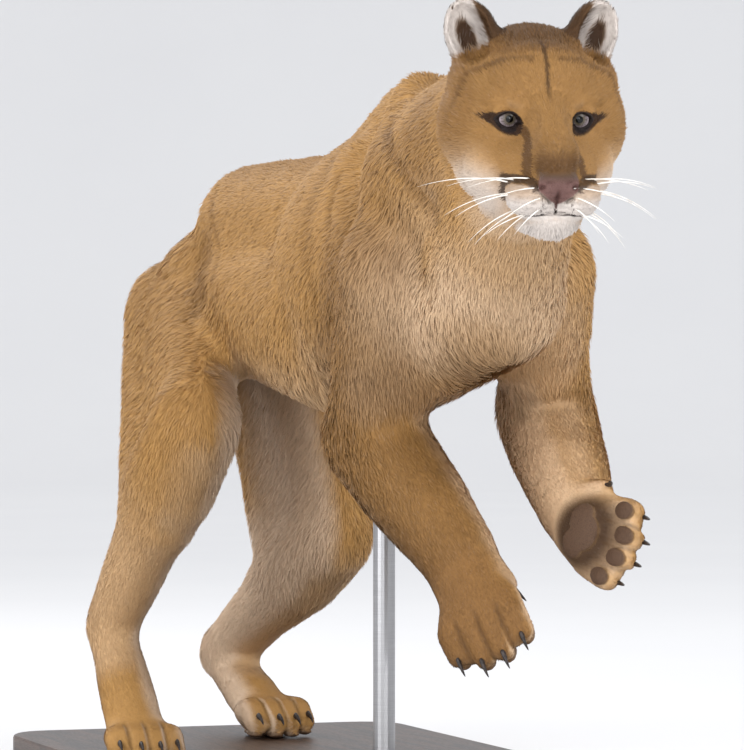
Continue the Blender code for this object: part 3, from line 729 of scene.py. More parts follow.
def makeSkin():
    skin = fuse("skin", fleshNodes, skinLook["voxel"], 2)
    print("skin fused:", len(skin.data.vertices), "points")
    soften(skin, bendShare(pointsOf(skin.data)), skinLook["bendRounds"])
    for weightOf in (headShare, lambda points: np.maximum(faceShare(points), earShare(points)), pawShare):
        refine(skin, weightOf)
    soften(skin, toeRoots(pointsOf(skin.data)), skinLook["rootRounds"])
    fine = fuse("fine", ["head", "ear_left", "ear_right", "neck"], skinLook["headVoxel"], 3)
    tree = BVHTree.FromObject(fine, bpy.context.evaluated_depsgraph_get())
    points = pointsOf(skin.data)
    share = headShare(points)
    for n in np.nonzero(share > 0.01)[0]:
        spot = tree.find_nearest(Vector(points[n]), 0.02)[0]
        if spot is not None:
            points[n] += (np.array(spot) - points[n]) * share[n]
    bpy.data.objects.remove(fine)
    movePoints(skin.data, points)
    print("face laid on")
    soften(skin, 1 - fineShare(points), skinLook["bodyRounds"])
    points = pointsOf(skin.data)
    soften(skin, fineShare(points) * (1 - 0.7 * earShare(points)), skinLook["fineRounds"])
    points = shapeBody(pointsOf(skin.data), normalsOf(skin.data))
    movePoints(skin.data, points)
    soften(skin, crookShare(points), skinLook["crookRounds"])
    points = pointsOf(skin.data)
    points -= coatDepth(points)[:, None] * normalsOf(skin.data)
    movePoints(skin.data, shapeEars(points))
    points = shapeFace(pointsOf(skin.data), normalsOf(skin.data))
    movePoints(skin.data, shapeEyes(points))
    modify(skin, "TRIANGULATE", quad_method="BEAUTY")
    applied(skin).data.shade_smooth()
    print("skin shaped:", len(skin.data.polygons), "triangles")
    return skin


def unwrap(obj):
    for other in bpy.context.selected_objects:
        other.select_set(False)
    obj.select_set(True)
    bpy.context.view_layer.objects.active = obj
    obj.data.uv_layers.new(name="OFBake")
    bpy.ops.object.mode_set(mode="EDIT")
    bpy.ops.mesh.select_all(action="SELECT")
    bpy.ops.uv.smart_project(angle_limit=math.radians(66), island_margin=0.001)
    bpy.ops.object.mode_set(mode="OBJECT")


# Markings and painted shade, the same for skin and coat

# some brown and dark entries are painted shade: the folds, the right foreleg, behind the cheeks, the right
# temple, the elbow crook, the head's sides, the toe clefts and the ear hollows
strength = {  # how much of each colour a marking brings
    "pale": {
        "front": 0.60, "under": 0.55, "chest": 1.0, "inner": 0.95,
        "cheek": 0.80, "throat": 0.85, "underEye": 0.40, "overEye": 0.30,
    },
    "white": {"thighs": 0.18, "muzzle": 1.0, "chin": 1.0, "jaw": 0.75, "earIn": 0.95},
    "brown": {
        "spine": 0.45, "neckShade": 0.45, "shadedFolds": 1.0, "rightForelegShade": 1.0, "breast": 0.46, "crook": 0.50,
        "smudge": 0.95, "crown": 0.98, "upper": 0.92, "bridge": 0.95, "arcs": 0.92, "tear": 0.95,
        "mask": 0.60, "templeShade": 0.75,
    },
    "dark": {
        "tailTip": 1.0, "toeGaps": 0.45, "smudge": 0.85, "crown": 0.52, "bridge": 0.54, "arcs": 0.24,
        "tear": 0.50, "sash": 0.90, "sashUp": 0.90, "sashIn": 0.72, "liner": 1.0, "furrow": 0.70,
        "lips": 1.0, "spots": 0.80, "earOut": 0.80, "earHollowShade": 0.95,
    },
}
facePatches = {  # middle, radii, softness
    "cheek": ((0.064, -0.018, -0.060), (0.024, 0.038, 0.026), 0.9),
    "throat": ((0, -0.06, -0.095), (0.050, 0.070, 0.024), 0.6),
    "muzzle": ((0.0150, 0.062, -0.0640), (0.0290, 0.036, 0.0185), 0.25),
    "chin": ((0, 0.045, -0.090), (0.026, 0.036, 0.0150), 0.35),
    "jaw": ((0.060, -0.008, -0.070), (0.030, 0.045, 0.020), 1.0),
}
faceStripes = {  # where it starts to fade, where it ends, stops
    "underEye": (0.003, 0.009, (0.0260, 0.010, -0.020), (0.0400, -0.002, -0.018)),
    "overEye": (0.002, 0.006, (0.0160, 0.012, 0.0105), (0.0290, 0.006, 0.0135)),
    "arcs": (0.0018, 0.0060, (0.0738, -0.036, -0.008), (0.0610, -0.0270, 0.0320),
             (0.0372, -0.0114, 0.0465), (0.0120, 0.004, 0.0485)),
    "sash": (0.0060, 0.0088, (0.0375, 0.026, -0.0620), (0.0388, 0.034, -0.0510)),
    "sashUp": (0.0044, 0.0068, (0.0388, 0.034, -0.0500), (0.0280, 0.064, -0.0485), (0.0170, 0.075, -0.0515)),
    "sashIn": (0.0018, 0.0036, (0.0170, 0.075, -0.0525), (0.0110, 0.078, -0.0600), (0.0040, 0.078, -0.0665)),
    "lips": (0.0009, 0.0022, *mouth),
}
tearStops = (
    (0.0200, 0.020, -0.0085), (0.0212, 0.042, -0.0150), (0.0214, 0.052, -0.0270), (0.0232, 0.062, -0.0430),
)


def trunkMarkings(points, normals, wander):
    away = boneOff(points)
    limb = {name: away[[line[0] == name for line in boneLines]].min(axis=0) for name in [*legs, "tail"]}
    flat = mirrored(points)
    under = step(0.15, 0.80, -normals[:, 2] + wander) * (1 - 0.4 * fade(0.05, 0.09, limb["tail"]))
    chest = near(points, (-0.040, -0.455, 0.466), (0.098, 0.100, 0.084), 1.0)
    chest = chest * step(-0.45, 0.30, -normals[:, 1] - 0.3 * normals[:, 2])
    breast = fade(0.01, 0.07, path(points, (-0.02, -0.45, 0.455), (0, -0.38, 0.42), (0, -0.30, 0.385)))
    inner, thighs = np.zeros((2, len(points)))
    for name, joints in legs.items():
        facing = step(0.05, 0.70, -sideOf(name) * normals[:, 0] + wander) * fade(0.060, 0.110, limb[name])
        inner = np.maximum(inner, facing)
        if name.startswith("hind"):
            along, off = alongLine(points, joints[1], joints[2])
            inner = np.maximum(inner, 0.50 * step(0.10, 0.70, along) * fade(0.050, 0.080, off))
            # the inner sides of the hind legs are whitened: partly their own pale coat, partly painted light
            # against the shade they stand in
            thighs = np.maximum(thighs, facing)
    left = legs["foreleg_left"]
    front = step(-0.1, 0.6, -normals[:, 1]) * fade(0.045, 0.075, path(points, left[1], left[3]))
    front = front * (1 - 0.85 * step(-0.1, 0.6, normals[:, 0]))
    spine = step(0.55, 0.95, normals[:, 2] + wander) * fade(0.03, 0.09, abs(points[:, 0]))
    # painted crease shade along the folds on the flank, neck and shoulder
    foldShade = np.max([dark * fade(0.3 * wide, 1.6 * wide, path(flat, *stops) + 0.02 * wander)
                     for wide, _, dark, *stops in shadedFolds.values()], axis=0)
    # painted shade: the right foreleg is darker on its sides that face away from the key light, most near the
    # paw and fading out up at the shoulder
    rightForelegShade = step(-0.9, 0.2, -normals[:, 0] + wander) * fade(0.050, 0.115, limb["foreleg_right"])
    height = points[:, 2]
    rightForelegShade = rightForelegShade * (0.64 + 0.32 * step(0.34, 0.22, height) - 0.40 * step(0.50, 0.62, height))
    smudge = near(inPaw(points, "foreleg_left"), (0, -0.002, -0.024), (0.036, 0.034, 0.024), 0.6)
    tipWay = unit(tail[-1] - tail[-6])
    tailTip = fade(0.0, 0.02, path(points, *tail[-7:]) - 0.05)
    tailTip = tailTip * step(-0.03, 0.03, (points - tail[-5]) @ tipWay + 0.03 * wander)
    marks = {name: mark * (1 - 0.45 * breast)
             for name, mark in (("front", front), ("under", under), ("chest", chest), ("inner", inner))}
    marks.update({
        "thighs": thighs, "breast": breast, "spine": spine * (away[:2].min(axis=0) < 0.2),
        # painted shade on the neck behind each cheek
        "neckShade": near(flat, (-0.100, -0.505, 0.640), (0.030, 0.045, 0.055), 0.9),
        "shadedFolds": foldShade * foldedness(points), "rightForelegShade": rightForelegShade,
        # painted shade along the crook of the left elbow
        "crook": fade(0.008, 0.026, path(points, *crookLine(left))),
        # the clefts between the toes are darkened with painted shade
        "smudge": smudge * (1 - padShare(points)), "tailTip": tailTip, "toeGaps": toeGaps(points),
    })
    return {name: mark * (1 - headShare(points)) for name, mark in marks.items()}


def earMarkings(points, normals, wander, blur):
    inner, outer, deep = np.zeros((3, len(points)))
    for side in sides.values():
        bowl, ear = earBowl(points, side)
        share = onEar(ear, (0.033, 0.044, 0.030), 0.2, 0.002, 0.010)
        facing = normals @ earAxes(side)[2]
        # a dark band on the crown side of each ear: partly the ear's dark back seen edge on, partly painted
        # shade
        crownSide = step(0.0105, 0.0145, -ear[:, 0] * side + blur) * fade(0.040, 0.052, ear[:, 1])
        front = step(-0.15, 0.10, facing + 0.3 * (bowl < 0.95)) * (1 - crownSide)
        inner = np.maximum(inner, share * front)
        outer = np.maximum(outer, share * np.maximum(1 - front, crownSide))
        # painted shade deep in each ear's hollow, towards its outer side
        hollow = np.hypot((ear[:, 0] * side - 0.005) / 0.0090, (ear[:, 1] - 0.016) / 0.0200) + 1.2 * wander
        deep = np.maximum(deep, fade(0.6, 1.05, hollow) * (ear[:, 2] > -0.010) * (facing > -0.2) * share)
    return {"earIn": inner * (1 - deep), "earOut": outer, "earHollowShade": deep}


def eyeLiner(points, blur):
    share = np.zeros(len(points))
    for side in sides.values():
        eye = inEye(points, side)
        close = step(-0.008, -0.002, eye[:, 1]) * (np.linalg.norm(eye, axis=1) < 0.030)
        outward, away = alongLine(eye * [1, 0, 1], (0.0110, 0, -0.0036), (0.0235, 0, -0.0066))
        lid = fade(0.95, 1.12, almond(eye, *lids["liner"]) + 18 * blur)
        corner = fade(-0.0010, 0.0006, away - 0.0052 * (1 - outward) - 0.0008 + blur)
        share = np.maximum(share, np.maximum(lid, corner) * close)
    return share


def whiskerSpots(face):
    share = np.zeros(len(face))
    for row in range(4):
        for n in range(4):
            spot = (0.0125 + 0.0042 * n + 0.0012 * (row % 2), 0.0750 - 0.0040 * n - 0.0008 * n * n,
                    -0.0580 - 0.0044 * row)
            away = np.linalg.norm((face - spot) * [1, 0.25, 1], axis=1)
            share = np.maximum(share, fade(0.0007, 0.0015, away))
    return share


def faceMarkings(points, blur):
    face, l, f, u = faceSpace(points)
    onFace = headShare(points)
    marks = {name: near(face, *patch) for name, patch in facePatches.items()}
    for name, (low, high, *stops) in faceStripes.items():
        ragged = name in ("arcs", "sash", "sashUp", "sashIn")
        marks[name] = fade(low, high, path(face, *stops) + ragged * blur)
    rise = np.hypot(l / 0.074, np.maximum(u, 0) / 0.0480) + 6 * blur
    squat = vec(1, 0.35, 1)
    tear = path(face * squat, *[squat * stop for stop in tearStops])
    marks.update({
        "mask": onFace * step(-0.085, -0.02, u) * (1 - marks["cheek"]),
        "cheek": marks["cheek"] * onFace, "jaw": marks["jaw"] * onFace, "lips": marks["lips"] * (f > 0.02),
        "muzzle": marks["muzzle"] * fade(-0.0525, -0.0490, u + blur)
                  * (1 - 0.55 * step(-0.0680, -0.0560, u + blur)),
        # brown above the brow arcs and down the sides of the head: partly the darker crown, partly painted
        # shade on the head's sides
        "upper": step(0.97, 1.22, rise) * step(-0.02, 0.01, u) * onFace,
        "crown": step(0.054, 0.066, u + 2 * blur) * fade(0.045, 0.060, l) * (f > -0.12) * onFace,
        "bridge": fade(0.014, 0.0225, l + blur) * step(0.016, 0.036, f) * fade(-0.034, -0.004, u)
                  * step(-0.060, -0.056, u),
        "tear": fade(0.0032, 0.0052, tear + blur) * step(0.002, 0.010, f),
        # painted shade on the right side of the head only
        "templeShade": near(inHead(points), (-0.070, -0.035, 0.012), (0.022, 0.045, 0.045), 0.9) * onFace,
        "liner": eyeLiner(points, blur), "spots": whiskerSpots(face) * (f > 0.05),
        "furrow": fade(0.0010, 0.0030, l + blur) * step(0.010, 0.030, u) * fade(0.060, 0.070, u)
                  * (f > -0.09),
    })
    return marks


def marksAndShade(points, normals):
    wander = 0.10 * ripple(points, 0.07, 5) + 0.05 * ripple(points, 0.02, 6)
    blur = 0.0010 * ripple(points, 0.006, 8) + 0.0008 * ripple(points, 0.0025, 11)  # ragged edges on the face
    marks = {
        **trunkMarkings(points, normals, wander), **earMarkings(points, normals, wander, blur),
        **faceMarkings(points, blur),
    }
    return {kind: np.max([much * marks[name] for name, much in parts.items()], axis=0)
            for kind, parts in strength.items()}


def setShares(mesh, shares):
    for name, values in shares.items():
        layer = mesh.attributes.new(name, "FLOAT", "POINT")
        layer.data.foreach_set("value", values.astype(np.float32))


# Shader maths: a socket with operators

class Socket:
    def __init__(self, tree, out):
        self.tree, self.out = tree, out

    def node(self, kind, settings=None, links=None, output=0):
        made = self.tree.nodes.new(kind)
        for name, value in (settings or {}).items():
            if name == "stops":
                ramp = made.color_ramp
                while len(ramp.elements) < len(value):
                    ramp.elements.new(0.5)
                for element, (place, colour) in zip(ramp.elements, value):
                    element.position, element.color = place, (*colour, 1)
            else:
                setattr(made, name, value)
        for name, value in (links or {}).items():
            if isinstance(value, Socket):
                self.tree.links.new(value.out, made.inputs[name])
            else:
                made.inputs[name].default_value = value
        return Socket(self.tree, made.outputs[output])

    def maths(self, operation, *values):
        return self.node("ShaderNodeMath", {"operation": operation}, dict(enumerate(values)))


    def __add__(self, other):
        return self.maths("ADD", self, other)

    __radd__ = __add__

    def __sub__(self, other):
        return self.maths("SUBTRACT", self, other)

    def __rsub__(self, other):
        return self.maths("SUBTRACT", other, self)

    def __mul__(self, other):
        return self.maths("MULTIPLY", self, other)

    __rmul__ = __mul__

    def ease(self, low, high):
        limits = {"Value": self, "From Min": low, "From Max": high}
        return self.node("ShaderNodeMapRange", {"interpolation_type": "SMOOTHSTEP"}, limits)

    def mix(self, a, b, share):
        # colour a, passing to colour b by share
        return self.node("ShaderNodeMix", {"data_type": "RGBA"}, {6: a, 7: b, 0: share}, 2)

    def noise(self, scale, detail=2.0, **others):
        # noise laid by this socket's coordinates
        values = {"Vector": self, "Scale": scale, "Detail": detail, **others}
        return self.node("ShaderNodeTexNoise", {}, values)

    def bump(self, shader, strength, distance):
        values = {"Height": self, "Strength": strength, "Distance": distance}
        self.node("ShaderNodeBump", {}, values).feed(shader, "Normal")

    def kept(self, name):
        # a value that is kept on the mesh
        return self.node("ShaderNodeAttribute", {"attribute_name": name}, output=2)

    def feed(self, shader, socket):
        self.tree.links.new(self.out, shader.inputs[socket])


def material(name, **constants):
    # the material, its shader, and the piece's own coordinates, from which its nodes are made
    made = bpy.data.materials.new(name)
    made.use_nodes = True
    shader = made.node_tree.nodes["Principled BSDF"]
    for socket, value in constants.items():
        shader.inputs[socket.replace("_", " ")].default_value = value
    return made, shader, Socket(made.node_tree, None).node("ShaderNodeTexCoord", output=3)


def colour(r, g, b):
    # screen colour of 0 to 255 as linear light
    return tuple(((c / 255) ** 2.2) for c in (r, g, b)) + (1.0,)


furLook = {
    "tawny": colour(179, 136, 81), "brown": colour(104, 72, 42), "pale": colour(216, 185, 151),
    "white": colour(207, 199, 193), "dark": colour(44, 28, 20),
    "most": {"pale": 0.88, "brown": 0.80, "white": 0.95, "dark": 0.95},
    "patches": 0.35, "flecks": 0.4, "darkHairs": 0.60, "lightHairs": 0.30,
}
leatherLook = {
    "nose": (colour(116, 86, 81), colour(80, 59, 55)), "noseTop": colour(74, 57, 44),
    "rim": colour(30, 20, 18), "pad": (colour(98, 76, 60), colour(58, 43, 35)), "grain": 1100.0,
}


def furColour(place):
    patches, flecks = place.noise(14.0, 3.0), place.noise(260.0)
    tint = place.mix(furLook["tawny"], furLook["brown"], (patches - 0.42) * furLook["patches"])
    for name, most in furLook["most"].items():
        tint = place.mix(tint, furLook[name], place.kept(name) * most)
    return place.mix(tint, furLook["dark"], (flecks - 0.54) * furLook["flecks"])


def skinMaterial():
    made, shader, place = material("skinFur", Specular_IOR_Level=0.2)
    bare, pad = place.kept("bare"), place.kept("pad")
    leather = place.node("ShaderNodeTexVoronoi", {}, {"Vector": place, "Scale": leatherLook["grain"]})
    noseTint = place.mix(*leatherLook["nose"], leather * 0.8)
    for name in ("noseTop", "rim"):
        noseTint = place.mix(noseTint, leatherLook[name], place.kept(name))
    padTint = place.mix(*leatherLook["pad"], leather * 0.7)
    place.mix(place.mix(furColour(place), noseTint, bare), padTint, pad).feed(shader, "Base Color")
    (0.66 - bare * 0.26 - pad * 0.10).feed(shader, "Roughness")
    (place.noise(700.0) * (1 - bare) + leather * (bare + pad) * 1.2).bump(shader, 0.5, 0.0009)
    return made


def coatMaterial():
    made, shader, place = material("coatFur", Roughness=0.60, Specular_IOR_Level=0.2)
    tone = place.kept("tone")
    tint = place.mix(furColour(place), furLook["dark"], (0.5 - tone) * furLook["darkHairs"])
    place.mix(tint, furLook["white"], (tone - 0.62) * furLook["lightHairs"]).feed(shader, "Base Color")
    return made


def dressSkin(skin):
    points = pointsOf(skin.data)
    _, forward, up = inHead(points).T
    setShares(skin.data, {
        **marksAndShade(points, normalsOf(skin.data)), "bare": bareSkin(points), "pad": padShare(points),
        "rim": np.maximum(fade(0.035, 0.045, forward), step(-0.0700, -0.0730, up)),
        "noseTop": step(-0.050, -0.040, up),
    })
    skin.data.materials.clear()
    skin.data.materials.append(skinMaterial())
    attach(skin, "root")
    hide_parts(*fleshNodes)
    print("skin dressed")


# The coat: many small curved blades, each lying along the skin

coatLook = {
    "trunk": 0.0115, "under": 0.0150, "neck": 0.0130, "foot": 0.0046, "tail": 0.0150, "tailTip": 0.0200,
    "face": 0.0038, "cheek": 0.0090, "muzzle": 0.0032, "chin": 0.0080, "earBack": 0.0040, "earIn": 0.0085,
    "trunkPer": 0.20, "facePer": 0.95, "headPer": 0.45, "footPer": 0.55, "earPer": 0.60,  # to a square mm
    "earThin": 0.80, "most": 60000,  # blades to a piece
    "depth": 0.22, "lift": 0.20, "liftSpread": 0.30, "lengths": (0.75, 1.2), "earLengths": (0.6, 1.1),
    "turn": 0.13, "waves": 0.10, "tilt": 0.30, "footLift": 0.70, "footTilt": 0.6,
    "width": 0.00035, "widthShare": 0.075, "earWidth": 0.0003, "sunk": 0.0006, "bend": (0.52, 0.72),
    "tone": 0.13, "rootTone": -0.20, "tipTone": 0.14, "patch": 0.0015,
    "round": 0.30, "upward": 0.85, "sheen": 0.22,  # how the blades' normals lean
}


def coatLength(points):
    face, _, forward, _ = faceSpace(points)
    low = lowerShare(points)
    along, away = alongLine(points, tail[1], tail[-1])
    back = points[:, 1] - animal["hips"][1] - animal["tailRoot"][0]
    onTail = step(0.02, 0.08, back) * fade(0.10, 0.16, away)
    length = np.full(len(points), coatLook["trunk"])
    for goal, share in (
        (coatLook["neck"], near(points, (0, -0.46, 0.56), (0.12, 0.16, 0.13), 0.6)),
        (coatLook["under"], near(points, (0, -0.05, 0.40), (0.10, 0.32, 0.05), 0.6) * (1 - low)),
        (coatLook["tail"] + (coatLook["tailTip"] - coatLook["tail"]) * step(0.75, 0.95, along), onTail),
        (coatLook["foot"], low),
        (coatLook["face"] + (coatLook["cheek"] - coatLook["face"]) * step(0.020, -0.050, forward),
         headShare(points)),
        (coatLook["chin"], near(face, (0, 0.02, -0.094), (0.04, 0.05, 0.012), 0.5)),
        (coatLook["muzzle"], near(face, (0, 0.070, -0.065), (0.040, 0.040, 0.017), 0.3)),
    ):
        length += (goal - length) * share
    length *= 0.45 + 0.55 * step(0.0010, 0.0060, path(face, *mouth))
    byEye = np.linalg.norm(face - vec(head["eyeSpread"] - 0.003, 0.002, 0), axis=1)
    length *= 0.40 + 0.60 * step(0.014, 0.026, byEye)
    return length + (coatLook["earBack"] - length) * earShare(points)


def bladesTo(middle, facing):
    # blades to a square millimetre at each triangle, and the share that stands in an ear's hollow
    onEars = earShare(middle)
    front = step(-0.06, 0.0, inHead(middle)[:, 1])
    per = coatLook["trunkPer"] + (coatLook["footPer"] - coatLook["trunkPer"]) * lowerShare(middle)
    onHeadPer = coatLook["headPer"] + (coatLook["facePer"] - coatLook["headPer"]) * front
    per += (onHeadPer - per) * headShare(middle)
    per += (coatLook["earPer"] - per) * onEars
    inEars, socket = np.zeros((2, len(middle)))
    for side in sides.values():
        bowl, _ = earBowl(middle, side)
        inEars = np.maximum(inEars, fade(0.75, 1.0, bowl) * onEars * (facing @ earAxes(side)[2] > -0.1))
        ball = np.linalg.norm(inEye(middle, side), axis=1) < head["eyeRadius"] + 0.0004
        socket = np.maximum(socket, ball)
    per = per * (1 - coatLook["earThin"] * inEars) * fade(0.25, 0.6, hairless(middle)) * (1 - socket)
    return per, inEars


def makeCoat(skin):
    mesh = skin.data
    points, normals = pointsOf(mesh), normalsOf(mesh)
    corners = rowsOf(mesh.polygons, "vertices", 3, np.int32)
    uv = rowsOf(mesh.uv_layers["OFBake"].data, "uv", 2).reshape(-1, 3, 2)
    a, b, c = (points[corners[:, n]] for n in range(3))
    across = np.cross(b - a, c - a)
    per, inEars = bladesTo((a + b + c) / 3, unit(across))
    wanted = np.linalg.norm(across, axis=1) / 2 * 1e6 * per
    count = int(wanted.sum())
    picked = np.searchsorted(np.cumsum(wanted) / wanted.sum(), chance.random(count))
    picked = np.minimum(picked, len(corners) - 1)
    p, q = chance.random(count), chance.random(count)
    flip = p + q > 1
    p[flip], q[flip] = 1 - p[flip], 1 - q[flip]
    weights = np.stack([1 - p - q, p, q], axis=1)[:, :, None]
    roots = (points[corners[picked]] * weights).sum(axis=1)
    up = unit((normals[corners[picked]] * weights).sum(axis=1))
    place = (uv[picked] * weights).sum(axis=1)

    way = lieOfCoat(roots, up)
    turn = chance.normal(0, coatLook["turn"], count) + coatLook["waves"] * ripple(roots, 0.03, 9)
    way = unit(way * np.cos(turn)[:, None] + np.cross(up, way) * np.sin(turn)[:, None])
    inside, low = inEars[picked], lowerShare(roots)
    length = coatLength(roots) * chance.uniform(*coatLook["lengths"], count)
    length += (coatLook["earIn"] * chance.uniform(*coatLook["earLengths"], count) - length) * inside
    width = length * coatLook["widthShare"] + coatLook["width"] - coatLook["earWidth"] * inside
    spread = np.clip(1 + coatLook["liftSpread"] * chance.normal(0, 1, count), 0.4, 2.2)
    lift = coatLook["lift"] * length * spread * (1 + 1.2 * inside) * (1 - coatLook["footLift"] * low)
    tilt = chance.normal(0, coatLook["tilt"], count) * (1 - coatLook["footTilt"] * low)
    flat = np.cross(up, way) * np.cos(tilt)[:, None] + up * np.sin(tilt)[:, None]

    half = (width / 2)[:, None] * flat
    root = roots - coatLook["sunk"] * up
    along, rise = coatLook["bend"]
    bend = roots + way * (along * length)[:, None] + up * (rise * lift)[:, None]
    tip = roots + way * length[:, None] + up * lift[:, None]
    verts = np.stack([root - half, root + half, bend + 0.75 * half, bend - 0.75 * half, tip], axis=1)
    shares = marksAndShade(roots, up)
    tone = np.clip(chance.normal(0.5, coatLook["tone"], count), 0, 1)[:, None]
    shares["tone"] = tone + [[coatLook["rootTone"]] * 2 + [0, 0, coatLook["tipTone"]]]
    shading = np.stack([flat, -flat, -flat, flat, 0 * flat], axis=1) * coatLook["round"]
    shading += up[:, None, :] * coatLook["upward"]
    shading = unit(shading + (way * coatLook["sheen"])[:, None, :] * chance.normal(0, 0.6, (count, 1, 1)))

    kinds = np.array([name for name, *_ in boneLines])[boneOff(roots).argmin(axis=0)]
    kinds = np.where(headShare(roots) > 0.5, "head", kinds)
    middle = np.where(kinds == "head", head["middle"][0], 0)
    halves = np.where(roots[:, 0] < middle, "_right", "_left")
    kinds = np.where(np.isin(kinds, ["spine", "head"]), np.char.add(kinds, halves), kinds)
    look, pieces = coatMaterial(), 0
    for kind in sorted(set(kinds)):
        every = np.nonzero(kinds == kind)[0]
        parts = max(1, math.ceil(len(every) / coatLook["most"]))
        for n, some in enumerate(np.array_split(every, parts)):
            bladePiece(f"coat_{kind}_{n + 1}", verts[some], shading[some], place[some],
                       {name: share[some] for name, share in shares.items()}, look)
            pieces += 1
    print("coat:", count, "blades in", pieces, "pieces")


def bladePiece(name, verts, shading, place, shares, look):
    # each blade has a four sided face at its root and a triangle at its tip
    count = len(verts)
    first = np.arange(count, dtype=np.int32)[:, None]
    mesh = bpy.data.meshes.new(name)
    mesh.vertices.add(count * 5)
    mesh.vertices.foreach_set("co", verts.astype(np.float32).ravel())
    mesh.loops.add(count * 7)
    mesh.loops.foreach_set("vertex_index", (first * 5 + np.array([1, 0, 3, 2, 2, 3, 4], np.int32)).ravel())
    mesh.polygons.add(count * 2)
    mesh.polygons.foreach_set("loop_start", (first * 7 + np.array([0, 4], np.int32)).ravel())
    mesh.update(calc_edges=True)
    outline = np.array([[1, -1], [-1, -1], [-0.8, 0.2], [0.8, 0.2], [0.8, 0.2], [-0.8, 0.2], [0, 1]])
    spots = place[:, None, :] + outline * coatLook["patch"]
    mesh.uv_layers.new(name="OFBake").data.foreach_set("uv", np.clip(spots, 0, 1).astype(np.float32).ravel())
    setShares(mesh, {kind: np.broadcast_to(share.reshape(count, -1), (count, 5)).ravel()
                     for kind, share in shares.items()})
    mesh.shade_smooth()
    mesh.normals_split_custom_set_from_vertices(shading.reshape(-1, 3).astype(np.float32))
    mesh.materials.append(look)
    piece = link(name, mesh)
    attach(piece, "root")


# Eyes

eyeLook = {
    "iris": 0.0087, "bulge": 0.0011, "bulgeTo": 1.15, "rings": 64, "spokes": 72,
    "gazeRight": 0.03, "gazeDown": 0.02,  # both look towards the viewer
    "inner": colour(84, 76, 62), "outer": colour(126, 114, 118), "fibres": colour(54, 47, 42),
    "shaded": colour(50, 42, 32), "halo": colour(160, 148, 152), "edge": colour(30, 21, 19),
    "veins": colour(58, 38, 33), "pupil": colour(2, 2, 2),
}


def eyeMaterial(word):
    made, shader, place = material("eye" + word.capitalize(), Roughness=0.08, Specular_IOR_Level=0.30)
    across, streak, rise = (place.kept(name) for name in ("across", "streak", "rise"))
    spread = place.node("ShaderNodeCombineXYZ", {}, {"X": streak * 26.0, "Y": across * 2.0})
    values = {"Vector": spread, "Scale": 1.0, "Detail": 4.0}
    fibres = place.node("ShaderNodeTexNoise", {"noise_dimensions": "2D"}, values)
    tint = eyeLook["inner"]
    for name, share in (
        ("outer", across.ease(0.40, 0.90)),
        ("fibres", fibres.ease(0.42, 0.72) * 0.7),
        ("shaded", rise.ease(-0.05, 0.40) * 0.75),
        ("halo", across.ease(0.80, 0.90) * 0.45),
        ("edge", across.ease(0.93, 1.02)),
        ("veins", across.ease(1.05, 1.25) * place.noise(500.0, 3.0)),
        ("pupil", 1 - across.ease(0.35, 0.40)),
    ):
        tint = place.mix(tint, eyeLook[name], share)
    tint.feed(shader, "Base Color")
    return made


def makeEye(word, side):
    axes, centre, radius = eyeAxes(side), eyeCentre(side), head["eyeRadius"]
    turn = (head["eyeOut"] * side + eyeLook["gazeRight"]) * headAxes[0] + eyeLook["gazeDown"] * headAxes[2]
    gaze = unit(axes[1] - turn)
    along = unit(np.cross(axes[2], gaze))
    rise = np.cross(gaze, along)
    bm = bmesh.new()
    bmesh.ops.create_uvsphere(bm, u_segments=eyeLook["spokes"], v_segments=eyeLook["rings"], radius=radius)
    shares = {"across": [], "streak": [], "rise": []}
    for vert in bm.verts:
        x, y, z = vert.co
        reach, bulge = 3.0, 0
        if z > 0:
            reach = math.hypot(x, y) / eyeLook["iris"]
            bulge = eyeLook["bulge"] * (1 - min(reach / eyeLook["bulgeTo"], 1) ** 2)
        vert.co = Vector(centre + (x * along + y * rise + (z + bulge) * gaze))
        shares["across"].append(reach)
        shares["streak"].append(math.atan2(y, x) / math.pi * (1 if y >= 0 else -1))
        shares["rise"].append(y / radius)
    mesh = meshFrom(bm, "eyeball_" + word)
    setShares(mesh, {name: np.array(values) for name, values in shares.items()})
    mesh.shade_smooth()
    mesh.materials.append(eyeMaterial(word))
    eye = link("eyeball_" + word, mesh)
    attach(eye, "root")
    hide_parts("eye_" + word)
    print("eye made:", word)


# Claws

clawLook = {"light": colour(62, 54, 51), "dark": colour(32, 27, 26), "grain": 400.0, "rounding": 2}


def clawMaterial():
    made, shader, place = material("clawHorn", Roughness=0.42, Specular_IOR_Level=0.35)
    grain = place.noise(clawLook["grain"], 3.0).ease(0.35, 0.65)
    place.mix(clawLook["light"], clawLook["dark"], grain).feed(shader, "Base Color")
    return made


def makeClaws():
    look = clawMaterial()
    for node in sorted(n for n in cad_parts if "_claw_" in n):
        bm = bmesh.new()
        bm.from_mesh(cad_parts[node].data)
        bmesh.ops.remove_doubles(bm, verts=bm.verts, dist=1e-6)
        piece = link(node + "_horn", meshFrom(bm, node + "_horn"))
        modify(piece, "SUBSURF", levels=clawLook["rounding"], render_levels=clawLook["rounding"])
        mesh = applied(piece).data
        mesh.shade_smooth()
        mesh.materials.clear()
        mesh.materials.append(look)
        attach(piece, "root")
        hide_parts(node)
    print("claws made")


# Whiskers

whiskerLook = {
    "rows": 3, "each": 4, "length": 0.074, "thick": 0.00065, "tip": 0.00004, "sides": 6, "steps": 9,
    "first": (0.017, 0.071, -0.0560), "next": (0.0038, -0.0085, 0.0006), "rowDown": 0.0056,
    "bend": 0.34, "sunk": 0.001, "light": colour(244, 240, 233), "shade": colour(214, 206, 194),
}


